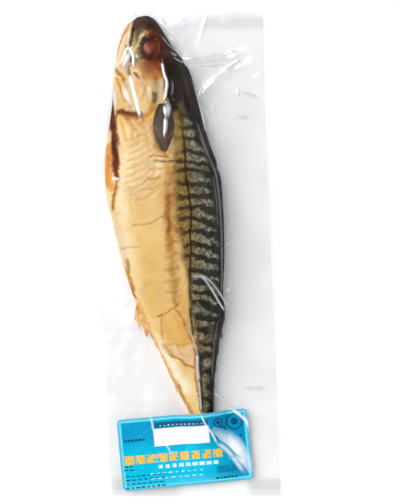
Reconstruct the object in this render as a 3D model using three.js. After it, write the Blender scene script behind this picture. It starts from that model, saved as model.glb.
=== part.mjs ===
// A whole hot-smoked mackerel, vacuum packed in a clear pouch with a paper label over its tail.
//
// The pack lies flat: the fish is on its right flank with its head towards +Y, its back towards +X and its
// opened belly towards -X. Units are millimetres, +Z is up, and the origin is at the middle of the pack's
// footprint, on the surface it rests on. The film is drawn so tight that the pouch has the fish's own form:
// it is one closed solid, a domed fish with a thin flat margin of film round it.
import * as THREE from "three";

// ---- The pouch ----------------------------------------------------------------------------------------
const POUCH_LENGTH = 350;
const POUCH_WIDTH = 143.2;
const FILM_THICKNESS = 1; // both webs of the margin together, with the smoking juices between them
const EDGE_HEIGHT = 3; // of the margin's top face above the table, at the pouch's rim
const SEAM_SHARE = 0.16; // how far up the fish's side the two webs meet
const MARGIN_WAVE = 1.1; // height of the long waves in the margin
const WAVE_LENGTHS = { along: 62, swell: 232, skew: [119, 377] };
const SEAL_WIDTH = 7.5; // the flattened heat seals at both ends
const FLAT_NEAR_SEAL = 3 * SEAL_WIDTH;
// Distances of the side edges from the middle line, from the tail end (-Y) to the head end (+Y).
const LEFT_EDGE = [
  [-175, 50], [-140, 53], [-57, 56.5], [-24, 60.8], [26, 67.4], [74, POUCH_WIDTH / 2], [110, 67.6],
  [148, 61], [175, 56.6],
];
const RIGHT_EDGE = [
  [-175, POUCH_WIDTH / 2], [-135, 70.2], [-55, 66.8], [17, 63.8], [90, 60.8], [140, 59.4], [175, 58.7],
];

// ---- The fish -----------------------------------------------------------------------------------------
const SNOUT = [-28.4, 172];
const FORK = [22, -162]; // the middle of the tail fin's end
const FISH_LENGTH = Math.hypot(FORK[0] - SNOUT[0], FORK[1] - SNOUT[1]);
// Cross-sections: distance behind the snout, width on the belly side, width on the back side, height
// above the seam of the pouch.
const SECTIONS = [
  [0, 7, 7, 6],
  [9, 15, 11.5, 10],
  [26, 23, 18.8, 15.5],
  [44, 27.8, 27.8, 19.5],
  [66, 33, 30.6, 23],
  [98, 42, 34.6, 26.5],
  [120, 44.8, 38.8, 28],
  [146, 43.4, 37.6, 27.6],
  [180, 40.2, 33.4, 25],
  [206, 35.6, 28.6, 21.5],
  [222, 31.4, 27.4, 19],
  [240, 25, 21, 15.5],
  [266, 17.6, 13.4, 10.5],
  [292, 8.8, 8.6, 7],
  [306, 7, 7, 5],
  [320, 14, 14, 2.6],
  [338, 22, 22, 1.4],
];
const NOSE_ROUNDING = 10;
const TAIL_ROUNDING = 3;
const SEAM_RUN = { before: 3, after: 12 }; // over which the seam rises and falls at both ends of the fish
// How full the dome is on each side: |across|^POWER under a root of SHARPNESS.
const BELLY_DOME = { power: 1.9, root: 0.72 };
const BACK_DOME = { power: 2.3, root: 0.58 };
const FLAT_SHARE = 0.7; // of the fish's width that lies flat on the table
const FLAT_FROM_HEIGHT = 3; // of the dome, below which the underside doesn't reach the table
const RELIEF_FROM_HEIGHT = 4; // of the dome, above which the relief has its full height

// ---- Relief that shows through the film, in fish coordinates [along, across], belly side negative -----
const EYE = { at: [26.5, 3.3], radius: 6, height: 1.3 };
const SOCKET = { radius: 10, depth: 1.1 };
const MOUTH = { path: [[1, -6.2], [10, -7.4], [20.5, -11.4]], half: 3.4, height: -1.4 };
const JAW = { path: [[20.5, -11.4], [25.7, -15.2], [33.6, -20.4]], half: 4, height: 0.9 };
const CHEEK_EDGE = { path: [[39, -25], [45, -20], [53, -18.8], [64.4, -17.2]], half: 4.5, height: -0.8 };
const GILL_EDGE = {
  path: [[68.2, -27.6], [72.8, -17.7], [78.6, -10], [75.7, -5.3], [72.1, -1.2], [63, 3.4], [52, 5.5]],
  half: 4.5,
  height: -1.7,
};
const BELLY_SLIT = {
  path: [[70, -29.4], [82, -32], [93.2, -33.8], [105, -34.3], [115.7, -34.9]],
  half: 4.5,
  height: -1.9,
};
const PECTORAL_FIN = { root: [68, 5.7], tip: [104.3, 4.6], half: 7.2, height: 1.3 };

// The broad tucks that the film makes where it has been drawn tight, in pack coordinates.
const TUCKS = [
  { path: [[5, 139], [30, 139], [52, 146]], half: 7, height: 1.4 },
  { path: [[12.5, 112], [24, 122], [40, 132], [52, 138]], half: 7, height: 1.8 },
  { path: [[14, -17], [22, -25], [32, -40]], half: 6, height: 1.2 },
  { path: [[1, -49], [9, -66], [12, -91], [14, -114]], half: 6, height: 1.2 },
  { path: [[22, -99], [38, -110], [50, -121]], half: 7, height: 1.6 },
];

// ---- The label ----------------------------------------------------------------------------------------
const LABEL_SIZE = [94.4, 51.8];
const LABEL_AT = [2.5, -141.4];
const LABEL_TURN = 5.5; // degrees
const LABEL_CORNER = 3.2;
const LABEL_THICKNESS = 0.5;
const LABEL_GAP = 0.45; // over the film below it
const LABEL_STIFFNESS = 16; // radius of the tightest bend of the label and the film under it
const LABEL_REACH = 10;
const LABEL_PROBE_STEP = 2;

// ---- How finely the surfaces are divided --------------------------------------------------------------
const ROWS = 100;
const LEFT_COLUMNS = 5;
const FISH_COLUMNS = 24;
const RIGHT_COLUMNS = 7;
const COLUMNS = LEFT_COLUMNS + FISH_COLUMNS + RIGHT_COLUMNS;
const UNDERSIDE_STEP = 2;
const COLUMN_CROWDING = 0.75; // towards the fish's outline
const LABEL_ROW_CROWDING = 0.45; // towards the label's rounded corners
const OUTLINE_ROUNDS = 12;
const LABEL_COLUMNS = 28;
const LABEL_ROWS = 12;

const FILM_AND_FISH = new THREE.MeshStandardMaterial({ color: 0xb08d58, roughness: 0.3, metalness: 0 });
const LABEL_PAPER = new THREE.MeshStandardMaterial({ color: 0x18a8d8, roughness: 0.4, metalness: 0 });

// ---- Curves -------------------------------------------------------------------------------------------
const { clamp, smoothstep, lerp } = THREE.MathUtils;

// The value at x of the smooth curve through the points [x, value, ...], which are sorted by x.
function through(points, x, column = 1) {
  const last = points.length - 1;
  const k = clamp(points.findIndex((p) => p[0] > x) - 1, 0, last - 1);
  const i = x >= points[last][0] ? last - 1 : k;
  const slope = (a, b) => (points[b][column] - points[a][column]) / (points[b][0] - points[a][0]);
  const span = points[i + 1][0] - points[i][0];
  const t = clamp((x - points[i][0]) / span, 0, 1);
  const entry = slope(Math.max(i - 1, 0), i + 1) * span;
  const exit = slope(i, Math.min(i + 2, last)) * span;
  const rest = 1 - t;
  return (
    points[i][column] * (1 + 2 * t) * rest * rest +
    points[i + 1][column] * (3 - 2 * t) * t * t +
    entry * t * rest * rest -
    exit * t * t * rest
  );
}

// How far (x, y) is from a path of straight stretches.
function distanceTo(path, x, y) {
  let nearest = Infinity;
  for (let i = 0; i + 1 < path.length; i++) {
    const [ax, ay] = path[i];
    const [dx, dy] = [path[i + 1][0] - ax, path[i + 1][1] - ay];
    const t = clamp(((x - ax) * dx + (y - ay) * dy) / (dx * dx + dy * dy), 0, 1);
    nearest = Math.min(nearest, Math.hypot(x - ax - t * dx, y - ay - t * dy));
  }
  return nearest;
}

// A rounded ridge, or a groove if its height is negative, along a path.
function ridge({ path, half, height }, x, y) {
  const share = distanceTo(path, x, y) / half;
  return share < 1 ? height * (1 - share * share) ** 2 : 0;
}

// ---- The fish's form ----------------------------------------------------------------------------------
const ALONG = [(FORK[0] - SNOUT[0]) / FISH_LENGTH, (FORK[1] - SNOUT[1]) / FISH_LENGTH];

function fishCoordinates(x, y) {
  const [dx, dy] = [x - SNOUT[0], y - SNOUT[1]];
  return [dx * ALONG[0] + dy * ALONG[1], dy * ALONG[0] - dx * ALONG[1]];
}

function section(along) {
  return {
    belly: through(SECTIONS, along, 1),
    back: through(SECTIONS, along, 2),
    height: through(SECTIONS, along, 3),
  };
}

// Share of the way from the fish's middle to its outline: 1 is on the outline.
function shareAcross(along, across) {
  const { belly, back } = section(along);
  return across / (across < 0 ? belly : back);
}

// Where the fish's outline crosses a row of the pouch, on the belly side (-1) or the back side (1).
function outlineX(y, side) {
  let x = SNOUT[0];
  for (let round = 0; round < OUTLINE_ROUNDS; round++) {
    const [along] = fishCoordinates(x, y);
    const { belly, back } = section(along);
    const across = side < 0 ? -belly : back;
    const middle = SNOUT[0] + ((y - SNOUT[1]) * ALONG[0]) / ALONG[1];
    x = middle - across / ALONG[1];
  }
  return x;
}

// The leaf outline of the pectoral fin: 1 on its midrib, 0 on its edge.
function finHeight({ root, tip, half, height }, along, across) {
  const [dx, dy] = [tip[0] - root[0], tip[1] - root[1]];
  const length = Math.hypot(dx, dy);
  const t = ((along - root[0]) * dx + (across - root[1]) * dy) / (length * length);
  if (t <= 0 || t >= 1) return 0;
  const aside = Math.abs((across - root[1]) * dx - (along - root[0]) * dy) / length;
  const width = half * Math.sin(Math.PI * t ** 0.8);
  return aside < width ? height * (1 - (aside / width) ** 3) : 0;
}

function relief(along, across) {
  const fromEye = Math.hypot(along - EYE.at[0], across - EYE.at[1]);
  const eye = fromEye < EYE.radius ? EYE.height * (1 - (fromEye / EYE.radius) ** 2) : 0;
  const socket = fromEye < SOCKET.radius ? -SOCKET.depth * (1 - (fromEye / SOCKET.radius) ** 2) : 0;
  const lines = [MOUTH, JAW, CHEEK_EDGE, GILL_EDGE, BELLY_SLIT].map((line) => ridge(line, along, across));
  return lines.reduce((sum, height) => sum + height, eye + socket + finHeight(PECTORAL_FIN, along, across));
}

// Height of the fish's dome over the seam, without its relief.
function dome(along, across) {
  const share = Math.abs(shareAcross(along, across));
  if (along <= 0 || along >= FISH_LENGTH || share >= 1) return 0;
  const { power, root } = across < 0 ? BELLY_DOME : BACK_DOME;
  const nose = along < NOSE_ROUNDING ? Math.sqrt(1 - (1 - along / NOSE_ROUNDING) ** 2) : 1;
  const left = FISH_LENGTH - along;
  const tail = left < TAIL_ROUNDING ? Math.sqrt(1 - (1 - left / TAIL_ROUNDING) ** 2) : 1;
  return section(along).height * nose * tail * (1 - share ** power) ** root;
}

// ---- The pouch's form ---------------------------------------------------------------------------------
function seamHeight(along) {
  const { before, after } = SEAM_RUN;
  const rise = smoothstep(along, -before, after);
  const fall = smoothstep(along, FISH_LENGTH - after, FISH_LENGTH + before);
  return EDGE_HEIGHT + SEAM_SHARE * section(along).height * rise * (1 - fall);
}

// Top face of the margin: it falls from the seam beside the fish to the rim, in long waves.
function marginTop(x, y, outward) {
  const [along] = fishCoordinates(x, y);
  const fall = smoothstep(outward, 0, 1);
  const turns = (lengthY, lengthX) => 2 * Math.PI * (y / lengthY + x / lengthX);
  const { along: waveLength, swell, skew } = WAVE_LENGTHS;
  const wave = Math.sin(turns(waveLength, skew[0])) * Math.sin(turns(swell, skew[1]));
  const fromEnd = POUCH_LENGTH / 2 - Math.abs(y);
  const pressed = smoothstep(fromEnd, 0, FLAT_NEAR_SEAL);
  return lerp(seamHeight(along), EDGE_HEIGHT, fall) + MARGIN_WAVE * wave * fall * pressed;
}

// The pouch's side edges and the fish's outline on the row at y.
function rowGuides(y) {
  return {
    left: -through(LEFT_EDGE, y),
    belly: outlineX(y, -1),
    back: outlineX(y, 1),
    right: through(RIGHT_EDGE, y),
  };
}

// How far out from the fish's outline a point of the margin is: 0 on the outline, 1 on the pouch's rim.
function outwardShare(x, guides) {
  if (x < guides.belly) return clamp((guides.belly - x) / (guides.belly - guides.left), 0, 1);
  if (x > guides.back) return clamp((x - guides.back) / (guides.right - guides.back), 0, 1);
  return 0;
}

function filmTop(x, y, guides = rowGuides(y)) {
  const [along, across] = fishCoordinates(x, y);
  const height = dome(along, across);
  const onFish = clamp(height / RELIEF_FROM_HEIGHT, 0, 1);
  const tucks = TUCKS.reduce((sum, tuck) => sum + ridge(tuck, x, y), 0);
  return marginTop(x, y, outwardShare(x, guides)) + height + onFish * relief(along, across) + tucks;
}

function filmUnderside(x, y, guides) {
  const [along, across] = fishCoordinates(x, y);
  const edge = marginTop(x, y, outwardShare(x, guides)) - FILM_THICKNESS;
  const inside = clamp(dome(along, across) / FLAT_FROM_HEIGHT, 0, 1);
  const flat = 1 - smoothstep(Math.abs(shareAcross(along, across)), FLAT_SHARE, 1);
  return edge * (1 - inside * flat);
}

// Columns are spread over the left margin, the fish and the right margin, and crowd towards the fish's
// outline, where its sides are steep.
function columnX(column, guides) {
  if (column <= LEFT_COLUMNS) return lerp(guides.left, guides.belly, column / LEFT_COLUMNS);
  const beyond = column - LEFT_COLUMNS - FISH_COLUMNS;
  if (beyond >= 0) return lerp(guides.back, guides.right, beyond / RIGHT_COLUMNS);
  const share = (column - LEFT_COLUMNS) / FISH_COLUMNS;
  const crowded = (1 - Math.cos(Math.PI * share)) / 2;
  return lerp(guides.belly, guides.back, lerp(share, crowded, COLUMN_CROWDING));
}

// ---- Closed sheets ------------------------------------------------------------------------------------
// A closed solid between two faces, each a grid of columns and rows. point(column, row, top) gives a corner.
// The underside takes every step-th line of the grid, and all of them where it meets the walls.
function closedSheet(columns, rows, point, step = 1) {
  const corners = [];
  const add = (a, b, c) => corners.push(...a, ...b, ...c);
  const apart = (a, b) => Math.hypot(a[0] - b[0], a[1] - b[1], a[2] - b[2]);
  const quad = (a, b, c, d) => {
    if (apart(a, c) <= apart(b, d)) {
      add(a, b, c);
      add(a, c, d);
    } else {
      add(a, b, d);
      add(b, c, d);
    }
  };
  const top = (i, j) => point(i, j, true);
  const under = (i, j) => point(i, j, false);
  for (let i = 0; i < columns; i++)
    for (let j = 0; j < rows; j++) quad(top(i, j), top(i + 1, j), top(i + 1, j + 1), top(i, j + 1));

  for (let i = 0; i < columns; i += step)
    for (let j = 0; j < rows; j += step) {
      const [iEnd, jEnd] = [i + step, j + step];
      if (i > 0 && j > 0 && iEnd < columns && jEnd < rows) {
        quad(under(i, j), under(i, jEnd), under(iEnd, jEnd), under(iEnd, j));
        continue;
      }
      const rim = [];
      const side = (fine, from, to) => {
        const count = fine ? step : 1;
        for (let k = 0; k < count; k++)
          rim.push(under(lerp(from[0], to[0], k / count), lerp(from[1], to[1], k / count)));
      };
      side(i === 0, [i, j], [i, jEnd]);
      side(jEnd === rows, [i, jEnd], [iEnd, jEnd]);
      side(iEnd === columns, [iEnd, jEnd], [iEnd, j]);
      side(j === 0, [iEnd, j], [i, j]);
      const middle = [0, 1, 2].map((axis) => rim.reduce((sum, p) => sum + p[axis], 0) / rim.length);
      rim.forEach((p, k) => add(p, rim[(k + 1) % rim.length], middle));
    }

  for (let i = 0; i < columns; i++) {
    quad(under(i, 0), under(i + 1, 0), top(i + 1, 0), top(i, 0));
    quad(under(i + 1, rows), under(i, rows), top(i, rows), top(i + 1, rows));
  }
  for (let j = 0; j < rows; j++) {
    quad(under(columns, j), under(columns, j + 1), top(columns, j + 1), top(columns, j));
    quad(under(0, j + 1), under(0, j), top(0, j), top(0, j + 1));
  }
  const geometry = new THREE.BufferGeometry();
  geometry.setAttribute("position", new THREE.Float32BufferAttribute(corners, 3));
  geometry.computeVertexNormals();
  return geometry;
}

function pouchGeometry() {
  const grid = [];
  for (let row = 0; row <= ROWS; row++) {
    const y = lerp(-POUCH_LENGTH / 2, POUCH_LENGTH / 2, row / ROWS);
    const guides = rowGuides(y);
    for (let column = 0; column <= COLUMNS; column++) {
      const x = columnX(column, guides);
      grid.push({ x, y, top: filmTop(x, y, guides), under: filmUnderside(x, y, guides) });
    }
  }
  const point = (column, row, top) => {
    const p = grid[row * (COLUMNS + 1) + column];
    return [p.x, p.y, top ? p.top : p.under];
  };
  return closedSheet(COLUMNS, ROWS, point, UNDERSIDE_STEP);
}

// The label bridges what it can't follow: it rests on the highest of the film round each point, less the
// sag of its own tightest bend.
function labelRest(x, y) {
  let rest = -Infinity;
  for (let dx = -LABEL_REACH; dx <= LABEL_REACH; dx += LABEL_PROBE_STEP)
    for (let dy = -LABEL_REACH; dy <= LABEL_REACH; dy += LABEL_PROBE_STEP) {
      const sag = (dx * dx + dy * dy) / (2 * LABEL_STIFFNESS);
      rest = Math.max(rest, filmTop(x + dx, y + dy) - sag);
    }
  return rest;
}

function labelGeometry() {
  const [width, height] = LABEL_SIZE;
  const turn = THREE.MathUtils.degToRad(LABEL_TURN);
  const rowY = (row) => {
    const share = row / LABEL_ROWS;
    return (height / 2) * lerp(2 * share - 1, -Math.cos(Math.PI * share), LABEL_ROW_CROWDING);
  };
  const halfWidth = (across) => {
    const intoCorner = Math.max(0, Math.abs(across) - (height / 2 - LABEL_CORNER));
    return width / 2 - LABEL_CORNER + Math.sqrt(LABEL_CORNER ** 2 - intoCorner ** 2);
  };
  const rests = new Map();
  const point = (column, row, top) => {
    const across = rowY(row);
    const along = halfWidth(across) * ((2 * column) / LABEL_COLUMNS - 1);
    const x = LABEL_AT[0] + along * Math.cos(turn) - across * Math.sin(turn);
    const y = LABEL_AT[1] + along * Math.sin(turn) + across * Math.cos(turn);
    const key = `${column} ${row}`;
    if (!rests.has(key)) rests.set(key, labelRest(x, y));
    return [x, y, rests.get(key) + LABEL_GAP + (top ? LABEL_THICKNESS : 0)];
  };
  return closedSheet(LABEL_COLUMNS, LABEL_ROWS, point);
}

function named(name, geometry, material) {
  const mesh = new THREE.Mesh(geometry, material);
  mesh.name = name;
  return mesh;
}

const pack = new THREE.Group();
pack.add(named("pouch", pouchGeometry(), FILM_AND_FISH));
pack.add(named("label", labelGeometry(), LABEL_PAPER));

export default pack;
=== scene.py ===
"""A whole hot-smoked mackerel in a clear vacuum pouch, with a printed label stuck over its tail.

The pack lies flat and is seen from straight above. Sizes are in millimetres in the pack's own frame: +Y
towards the fish's head, +X towards its back, +Z up, with the origin on the table under the pouch's middle.
They become metres where a mesh, a light or the camera is made. The form functions are those of the part's
own source; paths on the fish and the film are given as pixels of the photograph.
"""
import math
import bpy
import numpy as np
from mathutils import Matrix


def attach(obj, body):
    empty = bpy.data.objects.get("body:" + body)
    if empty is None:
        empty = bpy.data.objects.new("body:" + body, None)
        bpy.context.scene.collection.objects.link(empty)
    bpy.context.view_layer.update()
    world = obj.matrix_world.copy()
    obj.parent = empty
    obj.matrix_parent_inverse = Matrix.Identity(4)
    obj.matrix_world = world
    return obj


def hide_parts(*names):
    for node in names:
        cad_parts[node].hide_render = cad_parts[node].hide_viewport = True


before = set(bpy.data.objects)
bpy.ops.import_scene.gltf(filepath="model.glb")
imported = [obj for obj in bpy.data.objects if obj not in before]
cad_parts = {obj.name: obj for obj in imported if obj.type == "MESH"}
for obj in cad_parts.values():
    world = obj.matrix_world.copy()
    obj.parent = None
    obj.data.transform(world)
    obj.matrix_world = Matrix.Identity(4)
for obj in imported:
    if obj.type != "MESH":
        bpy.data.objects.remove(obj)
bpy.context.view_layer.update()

MM = 0.001
FULL_TURN = 2 * math.pi


def points(text):
    """A path written as x,y pairs."""
    return [tuple(map(float, pair.split(","))) for pair in text.split()]


def table(text):
    """Rows of names and numbers, each ending in a path of x,y pairs."""
    rows = []
    for words in map(str.split, text.strip().splitlines()):
        plain = [word for word in words if "," not in word]
        rows.append([word if word[0].isalpha() else float(word) for word in plain]
                    + [points(" ".join(words[len(plain):]))])
    return rows


# ---- The photograph's view ----
PIXEL = 0.72                      # mm across, on the level of the pouch's seam
IMAGE_CENTRE = (200, 252)
VIEW_CENTRE = (13.32, 1.26)       # below the camera
VIEW_LEVEL = 6.0
LENS, SENSOR, IMAGE_HEIGHT = 85.0, 36.0, 504
CAMERA_HEIGHT = VIEW_LEVEL + IMAGE_HEIGHT * PIXEL * LENS / SENSOR

# ---- The pouch ----
POUCH_LENGTH, POUCH_WIDTH = 350, 143.2
FILM_THICKNESS = 1.0
EDGE_HEIGHT = 3.0
SEAM_SHARE = 0.16
MARGIN_WAVE = 1.1
WAVE_LENGTH, WAVE_SWELL, WAVE_SKEW = 62, 232, (119, 377)
SEAL_WIDTH, SEAL_INSET = 7.5, 8.5
FLAT_NEAR_SEAL = 3 * SEAL_WIDTH
# Half widths of the pouch from its foot to its head, by y.
LEFT_EDGE = [(-175, 50), (-140, 53), (-57, 56.5), (-24, 60.8), (26, 67.4), (74, POUCH_WIDTH / 2),
             (110, 67.6), (148, 61), (175, 56.6)]
RIGHT_EDGE = [(-175, POUCH_WIDTH / 2), (-135, 70.2), (-55, 66.8), (17, 63.8), (90, 60.8), (140, 59.4),
              (175, 58.7)]

# ---- The fish ----
SNOUT, FORK = (-28.4, 172), (22, -162)
FISH_LENGTH = math.hypot(FORK[0] - SNOUT[0], FORK[1] - SNOUT[1])
ALONG = ((FORK[0] - SNOUT[0]) / FISH_LENGTH, (FORK[1] - SNOUT[1]) / FISH_LENGTH)
# Behind the snout: width on the belly side, width on the back side, height over the pouch's seam.
SECTIONS = [
    (0, 7, 7, 6), (9, 15, 11.5, 10), (26, 23, 18.8, 15.5), (44, 27.8, 27.8, 19.5), (66, 33, 30.6, 23),
    (98, 42, 34.6, 26.5), (120, 44.8, 38.8, 28), (146, 43.4, 37.6, 27.6), (180, 40.2, 33.4, 25),
    (206, 35.6, 28.6, 21.5), (222, 31.4, 27.4, 19), (240, 25, 21, 15.5), (266, 17.6, 13.4, 10.5),
    (292, 8.8, 8.6, 7), (306, 7, 7, 5), (320, 14, 14, 2.6), (338, 22, 22, 1.4)]
BELLY, BACK, HEIGHT = 1, 2, 3     # columns of the sections
NOSE_ROUNDING, TAIL_ROUNDING = 10, 3
SEAM_RUN = (3, 12)
BELLY_DOME, BACK_DOME = (1.9, 0.72), (2.3, 0.58)
FLAT_SHARE = 0.7
FLAT_FROM_HEIGHT = 3
RELIEF_FROM_HEIGHT = 4
EYE_AT, EYE_RADIUS, EYE_HEIGHT = (26.5, 3.3), 6, 1.3
SOCKET_RADIUS, SOCKET_DEPTH = 10, 1.1
FIN_ROOT, FIN_TIP, FIN_HALF, FIN_HEIGHT = (68, 5.7), (104.3, 4.6), 7.2, 1.3
# Lines on the fish: name, half width, height, path in fish coordinates.
FISH_LINES = table("""
    mouth 3.4 -1.4 1,-6.2 10,-7.4 20.5,-11.4
    lower_jaw 4 0.9 20.5,-11.4 25.7,-15.2 33.6,-20.4
    cheek 4.5 -0.8 39,-25 45,-20 53,-18.8 64.4,-17.2
    gill_cover 4.5 -1.7 68.2,-27.6 72.8,-17.7 78.6,-10 75.7,-5.3 72.1,-1.2 63,3.4 52,5.5
    belly_slit 4.5 -1.9 70,-29.4 82,-32 93.2,-33.8 105,-34.3 115.7,-34.9""")
# The film's broad tucks: half width, height, path in pack coordinates.
TUCKS = table("""
    7 1.4 5,139 30,139 52,146
    7 1.8 12.5,112 24,122 40,132 52,138
    6 1.2 14,-17 22,-25 32,-40
    6 1.2 1,-49 9,-66 12,-91 14,-114
    7 1.6 22,-99 38,-110 50,-121""")

# ---- The label ----
LABEL_SIZE, LABEL_AT, LABEL_TURN = (94.4, 51.8), (2.5, -141.4), math.radians(5.5)
LABEL_CORNER, LABEL_THICKNESS = 3.2, 0.3
LABEL_GAP = 0.5                   # mm over the film
LABEL_STIFFNESS = 16              # mm, the tightest radius to which it bends
LABEL_REACH = 10                  # mm round a point that can hold the label up there


# ---- Curves and forms ----
EVEN_SPACING = 0.35               # of a row's spacing; the rest of it crowds towards the row's ends
RIPPLE_WAVES = 9


def smoothstep(x, low, high):
    t = np.clip((x - low) / (high - low), 0, 1)
    return t * t * (3 - 2 * t)


def through(knots, x, column=1):
    """The value at x of the smooth curve through the knots, which are sorted by their first number."""
    xs, vs = (np.array([knot[k] for knot in knots], float) for k in (0, column))
    slopes = np.concatenate([[(vs[1] - vs[0]) / (xs[1] - xs[0])], (vs[2:] - vs[:-2]) / (xs[2:] - xs[:-2]),
                             [(vs[-1] - vs[-2]) / (xs[-1] - xs[-2])]])
    x = np.asarray(x, float)
    i = np.clip(np.searchsorted(xs, x, side="right") - 1, 0, len(xs) - 2)
    span = xs[i + 1] - xs[i]
    t = np.clip((x - xs[i]) / span, 0, 1)
    rest = 1 - t
    return (vs[i] * (1 + 2 * t) * rest ** 2 + vs[i + 1] * (3 - 2 * t) * t ** 2
            + slopes[i] * span * t * rest ** 2 - slopes[i + 1] * span * t ** 2 * rest)


def distance_to(path, x, y):
    nearest = np.full(np.shape(x), np.inf)
    for (ax, ay), (bx, by) in zip(path[:-1], path[1:]):
        dx, dy = bx - ax, by - ay
        t = np.clip(((x - ax) * dx + (y - ay) * dy) / (dx * dx + dy * dy), 0, 1)
        nearest = np.minimum(nearest, np.hypot(x - ax - t * dx, y - ay - t * dy))
    return nearest


def ridges(rows, x, y):
    """The height of all these lines, each raised or pressed in as its row says."""
    total = 0
    for *_, half, height, path in rows:
        share = np.minimum(distance_to(path, x, y) / half, 1)
        total = total + height * (1 - share ** 2) ** 2
    return total


def crowded(share):
    """Shares from 0 to 1 that crowd towards both ends."""
    return EVEN_SPACING * share + (1 - EVEN_SPACING) * (1 - np.cos(math.pi * share)) / 2


def ripples(x, y, parts):
    """Smooth irregular waves; each part has its height, wavelength and seed, and how far it is stretched."""
    total = 0
    for height, wavelength, seed, *stretch in parts:
        rng = np.random.default_rng(seed)
        along = y / stretch[0] if stretch else y
        for _ in range(RIPPLE_WAVES):
            turn, phase = rng.uniform(0, FULL_TURN, 2)
            pitch = FULL_TURN / (wavelength * rng.uniform(0.6, 1.7))
            wave = np.sin(pitch * (x * math.cos(turn) + along * math.sin(turn)) + phase)
            total = total + height * math.sqrt(2 / RIPPLE_WAVES) * wave
    return total


def fish_coordinates(x, y):
    dx, dy = x - SNOUT[0], y - SNOUT[1]
    return dx * ALONG[0] + dy * ALONG[1], dy * ALONG[0] - dx * ALONG[1]


def pack_coordinates(along, across):
    return SNOUT[0] + along * ALONG[0] - across * ALONG[1], SNOUT[1] + along * ALONG[1] + across * ALONG[0]


def half_width(along, side):
    """The fish's width from its middle line to the belly, where side is below zero, or else to the back."""
    return np.where(side < 0, through(SECTIONS, along, BELLY), through(SECTIONS, along, BACK))


def outline_x(y, side, rounds=12):
    x = np.full(np.shape(y), float(SNOUT[0]))
    for _ in range(rounds):
        across = side * half_width(fish_coordinates(x, y)[0], side)
        x = SNOUT[0] + (y - SNOUT[1]) * ALONG[0] / ALONG[1] - across / ALONG[1]
    return x


def fin_relief(along, across):
    dx, dy = FIN_TIP[0] - FIN_ROOT[0], FIN_TIP[1] - FIN_ROOT[1]
    length = math.hypot(dx, dy)
    t = np.clip(((along - FIN_ROOT[0]) * dx + (across - FIN_ROOT[1]) * dy) / length ** 2, 1e-6, 1 - 1e-6)
    aside = np.abs((across - FIN_ROOT[1]) * dx - (along - FIN_ROOT[0]) * dy) / length
    width = FIN_HALF * np.sin(math.pi * t ** 0.8)
    on_fin = (t > 1e-5) & (t < 1 - 1e-5) & (aside < width)
    return np.where(on_fin, FIN_HEIGHT * (1 - (aside / np.maximum(width, 1e-6)) ** 3), 0)


def fish_relief(along, across):
    from_eye = np.hypot(along - EYE_AT[0], across - EYE_AT[1])
    eye = EYE_HEIGHT * np.maximum(0, 1 - (from_eye / EYE_RADIUS) ** 2)
    socket = -SOCKET_DEPTH * np.maximum(0, 1 - (from_eye / SOCKET_RADIUS) ** 2)
    return eye + socket + fin_relief(along, across) + ridges(FISH_LINES, along, across)


def rounded(share):
    """The height of a quarter circle's edge, rising from 0 where the share is 0 to 1 where it is 1."""
    return np.sqrt(1 - (1 - np.clip(share, 0, 1)) ** 2)


def dome(along, across):
    share = np.abs(across / half_width(along, across))
    inside = (along > 0) & (along < FISH_LENGTH) & (share < 1)
    share = np.minimum(share, 1)
    bulge = np.where(across < 0, (1 - share ** BELLY_DOME[0]) ** BELLY_DOME[1],
                     (1 - share ** BACK_DOME[0]) ** BACK_DOME[1])
    ends = rounded(along / NOSE_ROUNDING) * rounded((FISH_LENGTH - along) / TAIL_ROUNDING)
    return np.where(inside, through(SECTIONS, along, HEIGHT) * ends * bulge, 0)


def seam_height(along):
    before, after = SEAM_RUN
    rise = smoothstep(along, -before, after)
    fall = smoothstep(along, FISH_LENGTH - after, FISH_LENGTH + before)
    return EDGE_HEIGHT + SEAM_SHARE * through(SECTIONS, along, HEIGHT) * rise * (1 - fall)


def row_guides(y):
    """Where the pouch's left edge, the belly, the back and the right edge lie on these rows."""
    return -through(LEFT_EDGE, y), outline_x(y, -1), outline_x(y, 1), through(RIGHT_EDGE, y)


def margin_top(x, y, guides):
    left, belly, back, right = guides
    outward = np.where(x < belly, (belly - x) / (belly - left),
                       np.where(x > back, (x - back) / (right - back), 0))
    fall = smoothstep(outward, 0, 1)
    wave = (np.sin(FULL_TURN * (y / WAVE_LENGTH + x / WAVE_SKEW[0]))
            * np.sin(FULL_TURN * (y / WAVE_SWELL + x / WAVE_SKEW[1])))
    pressed = smoothstep(POUCH_LENGTH / 2 - np.abs(y), 0, FLAT_NEAR_SEAL)
    seam = seam_height(fish_coordinates(x, y)[0])
    return seam + (EDGE_HEIGHT - seam) * fall + MARGIN_WAVE * wave * fall * pressed


def film_top(x, y, guides=None):
    along, across = fish_coordinates(x, y)
    height = dome(along, across)
    relief = np.clip(height / RELIEF_FROM_HEIGHT, 0, 1) * fish_relief(along, across)
    return margin_top(x, y, guides or row_guides(y)) + height + relief + ridges(TUCKS, x, y)


def film_underside(x, y, guides):
    along, across = fish_coordinates(x, y)
    inside = np.clip(dome(along, across) / FLAT_FROM_HEIGHT, 0, 1)
    flat = 1 - smoothstep(np.abs(across / half_width(along, across)), FLAT_SHARE, 1)
    return (margin_top(x, y, guides) - FILM_THICKNESS) * (1 - inside * flat)


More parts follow.
